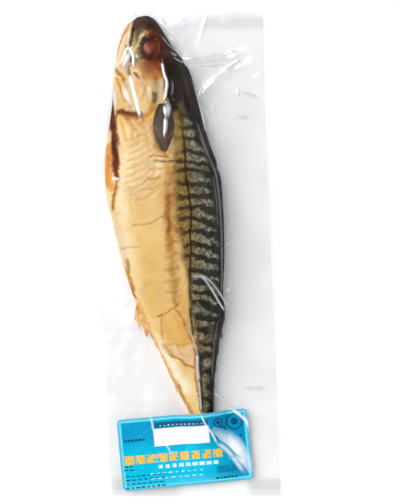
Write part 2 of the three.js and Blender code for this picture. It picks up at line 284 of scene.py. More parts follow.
def seen(pixels, surface=film_top, rounds=3):
    """Where a surface shows at these pixels of the photograph, in pack coordinates."""
    pixels = np.array(pixels, float)
    x = plane_x = VIEW_CENTRE[0] + (pixels[:, 0] - IMAGE_CENTRE[0]) * PIXEL
    y = plane_y = VIEW_CENTRE[1] + (IMAGE_CENTRE[1] - pixels[:, 1]) * PIXEL
    for _ in range(rounds):
        nearness = (CAMERA_HEIGHT - surface(x, y)) / (CAMERA_HEIGHT - VIEW_LEVEL)
        x = VIEW_CENTRE[0] + (plane_x - VIEW_CENTRE[0]) * nearness
        y = VIEW_CENTRE[1] + (plane_y - VIEW_CENTRE[1]) * nearness
    return list(zip(x.tolist(), y.tolist()))


def flowing(path, step):
    """A smooth curve through a path, as points about a step apart."""
    path = np.array(path, float)
    reach = np.concatenate([[0], np.cumsum(np.hypot(*np.diff(path, axis=0).T))])
    at = np.linspace(0, reach[-1], max(2, int(reach[-1] / step) + 1))
    return np.column_stack([through(list(zip(reach, path[:, k])), at) for k in (0, 1)])


# ---- Meshes ----
def linear(red, green, blue):
    """A colour given as it looks on a screen, 0 to 255."""
    shares = [c / 255 for c in (red, green, blue)]
    return (*(c / 12.92 if c <= 0.04045 else ((c + 0.055) / 1.055) ** 2.4 for c in shares), 1.0)


def link_object(name, data):
    piece = bpy.data.objects.new(name, data)
    bpy.context.scene.collection.objects.link(piece)
    return piece


def add_values(mesh, attributes):
    for key, values in attributes.items():
        values = np.asarray(values, np.float32)
        kind, field = ("FLOAT", "value") if values.ndim == 1 else ("FLOAT_COLOR", "color")
        mesh.attributes.new(key, kind, "POINT").data.foreach_set(field, values.reshape(-1))


def make_object(name, corners, faces, attributes, flat=()):
    """A mesh object from corners in millimetres and arrays of faces; flat numbers those not smooth."""
    mesh = bpy.data.meshes.new(name)
    loops = np.concatenate([f.reshape(-1) for f in faces]).astype(np.int32)
    sizes = np.concatenate([np.full(len(f), f.shape[1]) for f in faces])
    smooth = np.concatenate([np.full(len(f), k not in flat) for k, f in enumerate(faces)])
    mesh.vertices.add(len(corners))
    mesh.vertices.foreach_set("co", (np.asarray(corners, np.float32) * MM).reshape(-1))
    mesh.loops.add(len(loops))
    mesh.loops.foreach_set("vertex_index", loops)
    mesh.polygons.add(len(sizes))
    mesh.polygons.foreach_set("loop_start", np.concatenate([[0], np.cumsum(sizes)[:-1]]).astype(np.int32))
    mesh.polygons.foreach_set("use_smooth", smooth)
    add_values(mesh, attributes)
    mesh.update(calc_edges=True)
    mesh.validate()
    return link_object(name, mesh)


def flat_corners(*grids):
    return np.column_stack([grid.reshape(-1) for grid in grids])


def closed_sheet(name, columns, rows, top, under, coarse, attributes):
    """A sheet between two height grids; its underside keeps each coarse-th line and all of the rim."""
    width, count, used = columns + 1, len(top), {}

    def below(i, j):
        return used.setdefault(j * width + i, count + len(used))

    quads, triangles, rings = [], [], []
    for i in range(0, columns, coarse):
        for j in range(0, rows, coarse):
            right, back = i + coarse, j + coarse
            if i > 0 and j > 0 and right < columns and back < rows:
                quads.append([below(i, j), below(i, back), below(right, back), below(right, j)])
                continue
            fine = lambda on_rim: range(coarse if on_rim else 1)
            ring = ([(i, j + k) for k in fine(i == 0)] + [(i + k, back) for k in fine(back == rows)]
                    + [(right, back - k) for k in fine(right == columns)]
                    + [(right - k, j) for k in fine(j == 0)])
            corners = [below(*at) for at in ring]
            rings.append([b * width + a for a, b in ring])
            triangles += [[*pair, -len(rings)] for pair in zip(corners, corners[1:] + corners[:1])]
    keys, triangles = np.array(list(used)), np.array(triangles)
    triangles[triangles < 0] = count + len(used) - 1 - triangles[triangles < 0]
    rim = np.concatenate([np.arange(columns), np.arange(rows) * width + columns,
                          rows * width + np.arange(columns, 0, -1), np.arange(rows, 0, -1) * width])
    lower = np.vectorize(used.get)(rim)
    walls = np.column_stack([lower, np.roll(lower, -1), np.roll(rim, -1), rim])
    i, j = np.meshgrid(np.arange(columns), np.arange(rows))
    a = (j * width + i).reshape(-1)
    face_up = np.column_stack([a, a + 1, a + width + 1, a + width])
    corners = np.vstack([top, under[keys], [under[ring].mean(axis=0) for ring in rings]])
    spread = {key: np.concatenate([value, value[keys], [value[ring].mean() for ring in rings]])
              for key, value in attributes.items()}
    spread["upper"] = np.arange(len(corners)) < count
    sheet = make_object(name, corners, [face_up, np.array(quads), triangles, walls], spread, flat=(3,))
    ends = np.empty(len(sheet.data.edges) * 2, np.int32)
    sheet.data.edges.foreach_get("vertices", ends)
    on_rim = np.isin(ends.reshape(-1, 2), np.concatenate([rim, lower])).all(axis=1)
    sheet.data.attributes.new("sharp_edge", "BOOLEAN", "EDGE").data.foreach_set("value", on_rim)
    return sheet


# ---- Node helpers ----
class Wire:
    """An output of a node. Arithmetic with it adds math nodes to its tree."""

    def __init__(self, socket):
        self.socket, self.tree = socket, socket.id_data

    def __add__(self, other):
        return calc("ADD", self, other)

    def __sub__(self, other):
        return calc("SUBTRACT", self, other)

    def __rsub__(self, other):
        return calc("SUBTRACT", other, self)

    def __mul__(self, other):
        return calc("MULTIPLY", self, other)

    def __truediv__(self, other):
        return calc("DIVIDE", self, other)

    def __pow__(self, other):
        return calc("POWER", self, other)

    def step(self, low, high, to_low=0.0, to_high=1.0):
        """A soft step from to_low, where the value is low, to to_high, where it is high."""
        inputs = {"Value": self, "From Min": low, "From Max": high, "To Min": to_low, "To Max": to_high}
        return put(self.tree, "ShaderNodeMapRange", inputs, interpolation_type="SMOOTHSTEP")

    def swing(self, size):
        """A value between 0 and 1 as a deviation about zero, of the given size from end to end."""
        return calc("MULTIPLY_ADD", self, size, -size / 2)

    def other_output(self, name):
        return Wire(self.socket.node.outputs[name])


def fill(node, inputs):
    """What comes from other nodes is linked to a node's inputs, and the rest is set on them."""
    for key, value in inputs.items():
        for each in value if isinstance(value, list) else [value]:
            if isinstance(each, Wire):
                node.id_data.links.new(each.socket, node.inputs[key])
            else:
                node.inputs[key].default_value = each


def put(tree, kind, inputs=None, output=0, **settings):
    """Adds a node to a tree and gives one of its outputs."""
    node = tree.nodes.new(kind)
    for key, value in settings.items():
        setattr(node, key, value)
    fill(node, inputs or {})
    return Wire(node.outputs[output])


def calc(operation, *values, clamp=False):
    tree = next(value.tree for value in values if isinstance(value, Wire))
    return put(tree, "ShaderNodeMath", dict(enumerate(values)), operation=operation, use_clamp=clamp)


def mixed(factor, a, b):
    return put(factor.tree, "ShaderNodeMix", {0: factor, 6: a, 7: b}, 2, data_type="RGBA", clamp_factor=True)


def bent(colour, power):
    return put(colour.tree, "ShaderNodeGamma", {0: colour, 1: power})


def noise(vector, scale, detail=3.0, roughness=0.5, distortion=0.0):
    return put(vector.tree, "ShaderNodeTexNoise", {
        "Vector": vector, "Scale": scale, "Detail": detail, "Roughness": roughness, "Distortion": distortion},
        "Fac")


def stored_values(tree, *names):
    """What the mesh stores at its corners under these names."""
    return [put(tree, "ShaderNodeAttribute", output="Fac", attribute_name=name) for name in names]


def object_place(tree, stretch=(1.0, 1.0, 1.0), turn=0.0):
    """Object coordinates in metres; stretch lengthens a pattern along the axes, turned about the vertical."""
    place = put(tree, "ShaderNodeTexCoord", output="Object")
    inputs = {"Vector": place, "Scale": stretch, "Rotation": (0, 0, math.radians(turn))}
    return put(tree, "ShaderNodeMapping", inputs, vector_type="TEXTURE")


def new_material(name):
    """A material with its tree and its Principled shader."""
    material = bpy.data.materials.new(name)
    material.use_nodes = True
    return material, material.node_tree, material.node_tree.nodes["Principled BSDF"]


SOCKET_KINDS = {float: "Float", int: "Int", tuple: "Color"}


def new_tree(kind, name, inputs, outputs):
    """A node tree, the wires of its inputs and its output node. A socket is given by its default or kind."""
    tree = bpy.data.node_groups.new(name, kind)
    for direction, sockets in (("INPUT", inputs), ("OUTPUT", outputs)):
        for label, value in sockets.items():
            socket_kind = value if isinstance(value, str) else SOCKET_KINDS[type(value)]
            socket = tree.interface.new_socket(
                label, in_out=direction, socket_type="NodeSocket" + socket_kind)
            if socket_kind != value:
                socket.default_value = value
    given = tree.nodes.new("NodeGroupInput").outputs
    return tree, {label: Wire(given[label]) for label in inputs}, tree.nodes.new("NodeGroupOutput")


# ---- Effects shared by the materials ----
def smoke_mottle_group():
    """Blotches and fine specks that smoke and oil leave on skin and fins."""
    group, given, result = new_tree(
        "ShaderNodeTree", "smoke_mottle",
        {"Vector": "Vector", "Colour": (0.5, 0.5, 0.5, 1), "Stain": (0.1, 0.05, 0.02, 1), "Scale": 100.0,
         "Blotches": 0.3, "Specks": 0.2}, {"Colour": "Color"})
    blotches = noise(given["Vector"], given["Scale"], 4, 0.6).step(0.45, 0.75) * given["Blotches"]
    specks = noise(given["Vector"], given["Scale"] * 9.0, 3, 0.6).step(0.52, 0.72) * given["Specks"]
    fill(result, {"Colour": mixed(calc("MAXIMUM", blotches, specks), given["Colour"], given["Stain"])})
    return group


def fine_wrinkle_group():
    """Height of small creases that run along the stretched direction of the given coordinates."""
    group, given, result = new_tree(
        "ShaderNodeTree", "fine_wrinkles", {"Vector": "Vector", "Scale": 400.0, "Waver": 1.0},
        {"Height": "Float"})
    folds = put(group, "ShaderNodeTexNoise", {
        "Vector": given["Vector"], "Scale": given["Scale"], "Detail": 2.0, "Distortion": given["Waver"]},
        noise_type="RIDGED_MULTIFRACTAL", normalize=True)
    soft = noise(given["Vector"], given["Scale"] * 0.4, 2)
    fill(result, {"Height": folds * 0.6 + soft})
    return group


def mottled(mottle, place, colour, stain, scale, blotches, specks):
    """The colour with smoke's blotches and specks laid over it."""
    return put(place.tree, "ShaderNodeGroup", {
        "Vector": place, "Colour": colour, "Stain": stain, "Scale": scale, "Blotches": blotches,
        "Specks": specks}, node_tree=mottle)


def wrinkled(wrinkles, place, scale, waver, strength, distance):
    """A normal from fine wrinkles."""
    given = {"Vector": place, "Scale": scale, "Waver": waver}
    height = put(place.tree, "ShaderNodeGroup", given, node_tree=wrinkles)
    return put(place.tree, "ShaderNodeBump", {"Height": height, "Strength": strength, "Distance": distance})


# ---- Makers: geometry node trees ----
def new_maker(name, inputs):
    return new_tree("GeometryNodeTree", name, {"Geometry": "Geometry", **inputs}, {"Geometry": "Geometry"})


def finish_maker(tree, result, geometry, material):
    whole = put(tree, "GeometryNodeRealizeInstances", {"Geometry": geometry})
    finished = put(tree, "GeometryNodeSetMaterial", {"Geometry": whole, "Material": material})
    fill(result, {"Geometry": finished})
    return tree


def keep_value(geometry, name, value):
    """Stores a value at each corner, for the materials."""
    return put(geometry.tree, "GeometryNodeStoreNamedAttribute",
               {"Geometry": geometry, "Name": name, "Value": value}, data_type="FLOAT", domain="POINT")


def run_maker(piece, tree, values):
    """The plain mesh that a maker gives from a piece, whose name and place it takes."""
    name = piece.name
    modifier = piece.modifiers.new(tree.name, "NODES")
    modifier.node_group = tree
    for item in tree.interface.items_tree:
        if item.in_out == "INPUT" and item.name in values:
            modifier[item.identifier] = values[item.name]
    graph = bpy.context.evaluated_depsgraph_get()
    mesh = bpy.data.meshes.new_from_object(piece.evaluated_get(graph), preserve_all_data_layers=True,
                                           depsgraph=graph)
    piece.modifiers.remove(modifier)
    bpy.data.objects.remove(piece)
    mesh.name = name
    return link_object(name, mesh)


def made_by(tree, name, values):
    """What a maker gives from nothing."""
    return run_maker(link_object(name, bpy.data.meshes.new(name)), tree, values)


def raised_lines_maker(material):
    """Raises, or with a negative height presses in, a surface along lines that lie in the plane z = 0.

    Each point of the lines has its own half_width, height and mark; the surface is left with how strongly
    it is marked, which the film and the label show as painted highlights and the skin as darker lines.
    """
    tree, given, result = new_maker("raised_lines", {"Lines": "Object", "Crest": 1.3})
    lines = put(tree, "GeometryNodeObjectInfo", {"Object": given["Lines"]}, "Geometry")
    place = put(tree, "GeometryNodeInputPosition")
    level = put(tree, "ShaderNodeVectorMath", {0: place, 1: (1.0, 1.0, 0.0)}, operation="MULTIPLY")
    nearest = put(tree, "GeometryNodeSampleNearest", {"Geometry": lines, "Sample Position": level})

    def stored(name):
        return put(tree, "GeometryNodeInputNamedAttribute", {"Name": name}, data_type="FLOAT")

    def sampled(value, data_type="FLOAT"):
        inputs = {"Geometry": lines, "Value": value, "Index": nearest}
        return put(tree, "GeometryNodeSampleIndex", inputs, data_type=data_type)

    line_place = sampled(place, "FLOAT_VECTOR")
    distance = put(tree, "ShaderNodeVectorMath", {0: level, 1: line_place}, "Value", operation="DISTANCE")
    share = calc("MINIMUM", distance / sampled(stored("half_width")), 1.0)
    crest = 1.0 - share ** given["Crest"]
    profile, upper = crest * crest, stored("upper")
    offset = put(tree, "ShaderNodeCombineXYZ", {"Z": profile * sampled(stored("height")) * upper})
    moved = put(tree, "GeometryNodeSetPosition", {"Geometry": given["Geometry"], "Offset": offset})
    marked = keep_value(moved, "mark", profile * sampled(stored("mark")) * upper)
    return finish_maker(tree, result, marked, material)


LINE_STEP = 0.3                   # mm between a line's points
LINE_END, TAPER = 0.25, 2.5       # a line's share at its tips, and the half widths that it tapers over


def with_lines(piece, raiser, crest, rows, surface=film_top):
    """The piece with lines raised or pressed in, which taper at their ends.

    Each row: half width, height and mark, and the path in the photograph on the surface that shows there.
    """
    gathered = {"corners": [], "half_width": [], "height": [], "mark": []}
    for width, rise, strength, path in rows:
        curve = flowing(seen(path, surface), LINE_STEP)
        ends = np.minimum(np.arange(len(curve)), np.arange(len(curve))[::-1]) * LINE_STEP
        taper = np.clip(LINE_END + ends / (TAPER * width), 0, 1)
        for key, values in (("corners", np.column_stack([curve, np.zeros(len(curve))]) * MM),
                            ("half_width", width * MM * (0.5 + 0.5 * taper)),
                            ("height", rise * MM * taper), ("mark", strength * taper)):
            gathered[key].append(values)
    values = {key: np.concatenate(each) for key, each in gathered.items()}
    corners = values.pop("corners")
    mesh = bpy.data.meshes.new("lines")
    mesh.vertices.add(len(corners))
    mesh.vertices.foreach_set("co", corners.reshape(-1))
    add_values(mesh, values)
    lines = link_object("lines", mesh)
    made = run_maker(piece, raiser, {"Lines": lines, "Crest": crest})
    bpy.data.objects.remove(lines)
    return made


def lay(piece, root, direction, ground):
    """Moves a flat piece, whose x runs out from its root, to a place on the pack and drapes it there."""
    corners = np.empty(len(piece.data.vertices) * 3, np.float32)
    piece.data.vertices.foreach_get("co", corners)
    corners = corners.reshape(-1, 3) / MM
    dx, dy = (part / math.hypot(*direction) for part in direction)
    x = root[0] + corners[:, 0] * dx - corners[:, 1] * dy
    y = root[1] + corners[:, 0] * dy + corners[:, 1] * dx
    placed = np.column_stack([x, y, ground(x, y) + corners[:, 2]]) * MM
    piece.data.vertices.foreach_set("co", placed.astype(np.float32).reshape(-1))
    piece.data.update()
    return piece


# ---- The smoked skin ----
# Lines down the fish's side, as pixels of the photograph from head to tail.
GOLD_ENDS = points("""
    160,12 163,30 165,60 166,90 170,112 172,130 173,150 172,165 174,185 174,205 176,225 180,245 183,262
    187,278 189.5,295 190,311 191.5,322 195,340 198.5,355 200.4,376 201.3,398 203,412 207,440 211,475""")
LATERAL_LINE = points("""
    166,12 168,50 172,80 176,100 178,113 181.6,125 184.3,145 185.2,159 186,175 187.9,189 190.5,206
    191,222 190,232 191,249 190.6,258 189.8,269.6 188.5,280 189,291 189.4,300 188.9,311 190,320 193,340
    196,356 199,378 201,400 204,418 208,440 212,475""")
RIDGE_STARTS = points("""
    161,12 164,24 172,45 180,64 186,88 190,104 193.2,122 202,145 209.3,163 212,184 214.6,202 218,230
    219.5,250 220,270 220,290 219,310 216,330 213.5,350 211,370 209,390 209.5,412 213,440 216,475""")
# Rows of the photograph at which the back's dark bars cross the lateral line.
BARS_AT = [90, 102, 114.6, 125, 138, 151, 162, 171, 183, 195.5, 207, 219, 230, 244.6, 257, 271, 281, 292.5,
           303, 316, 329, 343, 356, 371, 386, 400, 415, 430]
STRIPE_BARS_AT = [173, 182.5, 195, 206, 218.5, 230, 243.5, 256, 270, 281, 292]

TOUCH_COLOURS = {name: linear(*map(int, shades.split(","))) for name, shades in map(str.split, """
    slit_brown 104,44,20
    flap_orange 208,130,40
    milk 244,230,204
    black 14,10,9
    char 30,22,18
    charcoal 28,27,26
    dark_brown 58,34,20
    maroon 58,16,8
    red_brown 92,38,20
    rust 168,88,44
    rust_dark 122,54,18
    amber 164,98,30
    orange 216,138,52
    gold 226,186,112
    deep_gold 218,164,76
    pale 238,216,172
    cream 232,212,174
    peach 216,158,116
    pinkish 226,198,178
    silver 182,172,146
    olive 134,116,60
    dark_olive 80,72,46
    olive_gold 168,142,74
    umber 136,82,26
    tan_brown 182,126,60
    bone 206,188,156
    violet_grey 88,78,80
    violet_brown 70,44,44
    straw_gold 218,178,98
    straw 214,196,130
    blush 214,176,128""".strip().splitlines())}


def wrinkle_stripes(colour, half, strength, path, count=9, pitch=7.5, drifts=(1, 1, 0.6)):
    """Touches side by side up the belly's wall."""
    start = list(zip(points(path), drifts))
    return [[colour, half, strength, [(x + drift * k, y - pitch * k) for (x, y), drift in start]]
            for k in range(count)]


# Touches on the skin, laid one over the other: colour, half width in pixels, strength, path. Most are
# smoke, blood and oil; a few are painted light: the umber touch round the pectoral fin is its painted shadow,
# the small pale patch among the flank's fine lines is a painted highlight, and the pale and brown stripes up
# the belly wall paint the light and shade of its wrinkles. They run from the broad tones over head, collar,
# slit belly with its wrinkle stripes, flank with its stripe, and tail stalk to the back.
TOUCHES = (table("""
    blush 15 0.6 138,140 142,165 140,190
    pale 9 0.6 124,130 123,165 122,195 124,215
    straw_gold 17 0.45 140,215 146,245 152,272 160,296
    cream 6 0.5 120,195 124,230 131,262
    pale 9 0.85 158,340 168,360 180,378 187,392
    milk 7.5 0.85 162,350 172,368 183,386
    gold 6 0.4 186,396 192,408
    tan_brown 6 0.35 150,120 156,138 160,150
    charcoal 12 1 155,18 164,34 173,50 181,68 186,88 190,104
    char 11 0.97 166,52 171,70 175,90 178,108
    char 6 1 130.5,15.5 140,18 154,21
    dark_brown 5.5 1 138,23 146,22 154,26
    dark_brown 6.5 0.9 139,28 147,27 158,31
    char 5 0.9 152,22 159,30 163,42 164,52
    cream 7 0.95 127,24 121,36 117,47 115,58 114.5,70
    bone 4 0.6 130,30 127,42 124,56 121,68
    rust 1.9 0.75 130.5,19 127,28 121.8,38 118,48 115.2,59
    peach 1.7 0.7 131.6,24 129.5,34 126.5,43
    dark_olive 4.2 0.8 142,28 137,38 136,54 134,64
    straw 2.6 0.9 144,35 137.5,44 132.5,52 131.5,60
    straw 1.6 0.5 139.5,46 136,56
    olive 3 0.7 141,44 139.5,56 138.5,66
    dark_olive 1.5 0.6 141.5,46 140,57 139.4,66
    char 2.4 0.85 148,36 144.5,43 144,52
    red_brown 5 0.9 150,36 158,36 163,44 163,54
    maroon 10.5 1 149.5,46 151,48
    black 2.6 0.7 146,38 143.6,46
    amber 1.2 0.75 158.4,42 158.8,49 156.5,54
    maroon 5.5 0.95 146,56 153,59 162,58
    rust_dark 7 0.9 146,66 151,67 157,66
    rust_dark 4.5 0.7 148,64 155,66 160,70
    olive_gold 4 0.6 140.5,66 142,74 146,80
    amber 3.6 0.6 143,68 145,76 150,80
    amber 5.4 0.75 146,73 151,76 157,74
    rust 2.6 0.7 151,68 155,74 156,83
    tan_brown 3 0.6 148,78 152,84 150,90
    peach 4 0.65 137,78 139,86
    gold 8 0.5 124,90 134,98 147,96 154,86
    tan_brown 6 0.45 144,84 151,94 154,106
    cream 4.5 0.5 141,88 140.5,98
    bone 8 0.55 122,84 128,98 134,108
    bone 6 0.5 148,84 150,100
    silver 4.2 0.8 158.5,84 159,98
    dark_olive 2.4 0.7 154,92 154.8,102
    dark_brown 1.7 0.7 134.5,73 138.5,78
    tan_brown 2 0.6 148,84 144,92 141,99
    amber 2 0.85 114.8,71 120,74 124.4,80
    amber 2 0.8 116.5,78 120.4,88 125,100 130,105
    deep_gold 3.2 0.6 119,78 123,92
    tan_brown 3 0.4 128,104 134,109
    black 2.1 1 131,15.5 134.2,20 133.8,28 132,37 130.2,43.5
    black 2 0.85 126.4,47 128,53 129.5,60
    violet_grey 2.6 0.75 128.4,58 127.8,66 129.4,74
    rust 2 0.85 111,88 110.8,98 111,110
    violet_brown 4 0.7 164,54 171,52 178,55
    olive 4 0.5 179,104 183,112
    olive 1.5 0.4 171.6,78 172,97
    dark_olive 2.6 0.5 180,66 184,78 188,92
    black 3 0.5 167,60 169.5,78 171,100
    charcoal 1.2 0.5 140,30 136,40
    rust_dark 3.2 0.9 117.5,112 124,113.4 131,114 139.5,115.4
    maroon 1.7 0.5 119,111 126,112 137,113.4
    amber 2.2 0.6 119,116 127,117.6 137,119
    tan_brown 2 0.9 138,116 144,121
    cream 3.4 0.6 118,118 121,126 122,138
    deep_gold 4.4 0.85 148,117 153,111 158.5,105.5
    orange 2.2 0.6 155,110 160,105
    tan_brown 1.5 0.5 119.6,118 123.6,130 128,142
    tan_brown 1.5 0.5 130,121 134,129 138,133 136,142
    tan_brown 1.5 0.4 142,122 141,130 138,140
    maroon 2.2 1 111.5,96 112,108 112.8,118
    red_brown 6 0.6 112,122 112.8,134 113.6,148 115,162
    red_brown 3.4 0.75 113,119 113.6,130 114.2,140
    slit_brown 5 0.95 112.6,118 113.4,130 114.4,145 115.4,168
    maroon 2.6 0.7 114.6,142 115.2,152 115.6,163
    flap_orange 3.6 0.85 106.6,150 106.4,166 108,184
    orange 3.4 0.6 109.6,148 109.8,166 111,188
    umber 2.2 0.6 108,157 108.4,168
    rust_dark 3.2 0.95 115.8,166 116.8,177
    orange 3 0.45 107.5,150 107.5,165 111,186
    pale 2.4 0.7 109.5,132 109,142
    amber 2.4 0.95 117,180 115,190 113.6,200 113,209
    umber 3 0.5 157,110 153.6,120 153,132 157,145 164,154
    char 2.4 0.75 158,112 155,124 156,138 162,150""")
    # Pale stripes, with brown ones between them, up the belly wall: painted light and shade of its wrinkles.
    + wrinkle_stripes("pale", 1.9, 0.4, "119,196 134,190 151,180")
    + wrinkle_stripes("tan_brown", 1.3, 0.3, "124,191.5 140,185 153,176")
    # The pale touch at 158,162 in this table is a painted highlight on the flank's fine lines.
    + table("""
    deep_gold 3.4 0.5 118,120 123,132 128,146
    tan_brown 2.6 0.45 127,118 131,128 133,140
    tan_brown 3 0.4 139,122 146,134 148,146
    orange 3.4 0.5 144,116 150,113 155,108
    bone 4 0.5 116,212 121,240 129,270
    straw 8 0.3 147,190 153,214 158,236
    dark_olive 0.9 0.7 149.5,156 158,156.2 168,156.8
    char 1.2 0.75 155,161 168,161 182,159.6
    pale 5 0.6 158,162 159,171
    tan_brown 1.3 0.6 144,182 150,179 161,178
    tan_brown 1.3 0.55 139.6,191 150,189 160,185
    tan_brown 1.3 0.45 136,201 146,197 156,190
    tan_brown 1.2 0.45 148,168 158,169 168,167
    tan_brown 8.5 0.42 170,164 170.5,185 170,210 171,235
    umber 4 0.25 168.5,172 169,184 168,196
    umber 4 0.4 168,200 168.6,207 168,214
    umber 2.8 0.8 167.4,213 168.6,222 169.2,230
    umber 2.2 0.55 169,232 170.4,240 169.8,250
    dark_brown 2.2 0.6 168,218 168.8,226 169.2,234
    rust_dark 2 0.35 167.8,196 168.4,206 168,214
    umber 2.8 0.55 170,224 176,229 182,233
    tan_brown 6 0.35 171,238 172.5,256 174,276 176.5,300
    tan_brown 5 0.5 167,216 168.4,232 170.6,252
    umber 4 0.3 172.6,262 173.2,274
    umber 3.4 0.35 174,284 174.8,296 177,303""")
    + [["umber", 2.2, 0.32, [(166.5, y + 1), (171, y), (178, y - 1.5)]] for y in STRIPE_BARS_AT]
    + table("""
    amber 1.1 0.5 132.7,225.2 142.5,224.2 151.4,222.4 157.7,219.2 164,216.8
    tan_brown 1.2 0.5 120,249 133.6,246.8 141,246
    deep_gold 1.4 0.3 112,212 122,214
    amber 1.2 0.7 157.7,316.9 167.5,312 174.6,307.6 179,304.6
    amber 3.2 0.75 127,262 128.8,276 133,290
    rust_dark 1.6 0.95 129.5,287 132,293 136.4,299
    deep_gold 8 0.5 168,322 171,339 186,340 180,320
    orange 3.4 0.4 178,318 184,328 189,338
    amber 1.6 0.35 162,317 161.6,327 162.6,338
    amber 1.5 0.6 176,309.5 180.5,315.5 185,325 189,334 192,342
    tan_brown 1.3 0.6 168,344.6 180,345 192,343.6
    peach 3.2 0.5 182,306 186,318
    pinkish 5 0.65 175,350 184,352 191,350
    tan_brown 1.4 0.4 178,347 182,354 188,357
    pinkish 5 0.6 186,358 193,360
    amber 3 0.5 164,346 168,350 171,354
    amber 1.5 0.8 171,355 176,358.6 181,361 185.2,364 192.3,367
    amber 1.6 0.7 194,350 195,360 195,372 197,392
    orange 2.6 0.45 139,303 150,330 162.5,357 175,381 184,398
    amber 1.2 0.4 151,334 162.5,358 175,382 184,397
    amber 1.8 0.6 178,386 183,396 188,405 192,414
    char 1.8 0.7 190.6,268 191,290 190.6,312 192.6,334
    charcoal 3.2 0.85 198,352 200.5,368 201,386 202,410
    olive_gold 5 0.6 176,114 177.5,132 179,152
    amber 2 0.8 172.6,118 173,136
    rust_dark 3.4 0.5 197,344 203,343 207,340
    violet_grey 5 0.8 211.5,328 213,336"""))

# Lines pressed into the skin: half width, depth, how dark the line is, path in the photograph.
PRESSED_LINES = table("""
    1.6 -1.4 0.9 132.6,16 133.3,22 133.2,30 131.9,38 130,43.5 127.5,50
    1.4 -1 0.7 126.8,49 127.5,54 128.8,60 128.5,70
    1.2 -0.5 0.3 141,40 139,52 136,66
    1.9 -1.5 0.7 116.5,112.6 124,114 131,115 138.4,117 143,121
    1.2 -0.5 0.2 143,121 149,116 154,110 158.5,104
    1.2 -0.6 0.25 114.8,72 120,74.5 123.8,79 125.4,88 130,103
    1 -0.4 0.15 136,75 142,84 147,95 150,104
    2.6 -2.2 0.3 112.4,98 112.8,116 113.8,134 114.8,150 115.6,166 116.4,177
    1 -0.7 0.3 116.5,181 114.5,192 112.8,208
    0.7 -0.35 0.3 149.5,156 158,156.4 167.3,156.8
    0.8 -0.4 0.4 152,160.6 161,161.5 170,160.3 180,159.4
    0.8 -0.3 0.1 145,181.6 150,179.4 161,178
    0.8 -0.3 0.1 139.6,191 150,189 159.3,186
    0.8 -0.4 0.18 132.7,224.8 142.5,223.9 151.4,222.1 157.7,219 164,216.6
    0.7 -0.3 0.15 122.9,248 133.6,246.4 140,245.5
    0.8 -0.5 0.3 157.7,316.9 167.5,312 174.6,307.6 179,304.6
    0.8 -0.4 0.1 162.3,317 161.8,327 162.6,337
    0.9 -0.5 0.15 176,358.6 185.2,364 192.3,367.6
    0.9 -0.5 0.3 129.5,288 132,293 136,299""")

# The touches' uneven paths, strength and edges: height, wavelength and seed of their waves.
STRAY_X, STRAY_Y = ((0.4, 11, 31), (0.16, 5, 32)), ((0.6, 11, 33), (0.2, 5, 34))
UNEVEN, RAGGED = ((0.1, 8, 35), (0.05, 4, 36)), ((0.09, 3.4, 5),)
EVEN_STRENGTH, LEAST_STRENGTH, MOST_STRENGTH = 0.94, 0.55, 1.06
TOUCH_STEP = 2.0                  # mm between the points of a touch's path
TOUCH_FADE = (0.1, 1.3)           # shares of the half width between which a touch fades
TOUCH_BORDER = 3                  # mm by which a touch may stray
BROAD_TOUCH = 2.2                 # mm half width from which a strong touch has an even middle
THIN_TOUCH = 1.6                  # mm half width under which a touch keeps closer to its path
STRONG, EVEN_MIDDLE = 0.75, 1.8   # the strength from which that middle grows, and how fast
EYE_RESPONSE = 2.2                # power by which the eye evens out light; touches are mixed along it
SKIN_UNDER_FILM = 0.45            # mm that the skin lies below the film's own surface
SKIN_ROWS, SKIN_TOP, SKIN_UNDER = 400, 184, 46
SKIN_INSET, THINNEST = 0.6, 0.05  # mm between the body's outline and the film's, and between its two sides
BODY_START, BODY_END = 0.6, 313   # mm behind the snout; the end is inside the tail fin
SNOUT_ROUNDING, END_ROUNDING = 7, 9
CLOSING = 1.6                     # how fast the body's two sides part behind its rounded ends
STALK_HALF, STALK_END, STALK_TAPER = 7, 306, 0.8
PLACE_UNIT = 100                  # mm in which the body stores its places along and across


def side_line(pixels, along):
    """Across-coordinate of a line down the fish's side, at these distances behind the snout."""
    return through(sorted(fish_coordinates(x, y) for x, y in seen(pixels)), along)


def touched_colours(x, y):
    """Colour, evened for the eye, and strength of the touches at these points, one laid over the other."""
    colour, strength = np.zeros((len(x), 3)), np.zeros(len(x))
    shift_x, shift_y, ragged = ripples(x, y, STRAY_X), ripples(x, y, STRAY_Y), ripples(x, y, RAGGED)
    uneven = np.clip(EVEN_STRENGTH + ripples(x, y, UNEVEN), LEAST_STRENGTH, MOST_STRENGTH)
    for name, half, most, pixels in TOUCHES:
        path = flowing(seen(pixels), TOUCH_STEP)
        half = half * PIXEL
        thin, border = min(1.0, half / THIN_TOUCH), 2 * half + TOUCH_BORDER
        (low_x, low_y), (high_x, high_y) = path.min(axis=0) - border, path.max(axis=0) + border
        near = (x > low_x) & (x < high_x) & (y > low_y) & (y < high_y)
        at_x, at_y = x[near] + thin * shift_x[near], y[near] + thin * shift_y[near]
        share = distance_to(path, at_x, at_y) / half + ragged[near]
        core = TOUCH_FADE[0] + (EVEN_MIDDLE * max(0, most - STRONG) if half > BROAD_TOUCH else 0)
        cover = np.clip(most * uneven[near], 0, 1) * (1 - smoothstep(share, core, TOUCH_FADE[1]))
        paint = np.array(TOUCH_COLOURS[name][:3]) ** (1 / EYE_RESPONSE)
        colour[near] = colour[near] * (1 - cover[:, None]) + paint * cover[:, None]
        strength[near] = strength[near] * (1 - cover) + cover
    return np.column_stack([colour / np.maximum(strength, 1e-4)[:, None], strength])


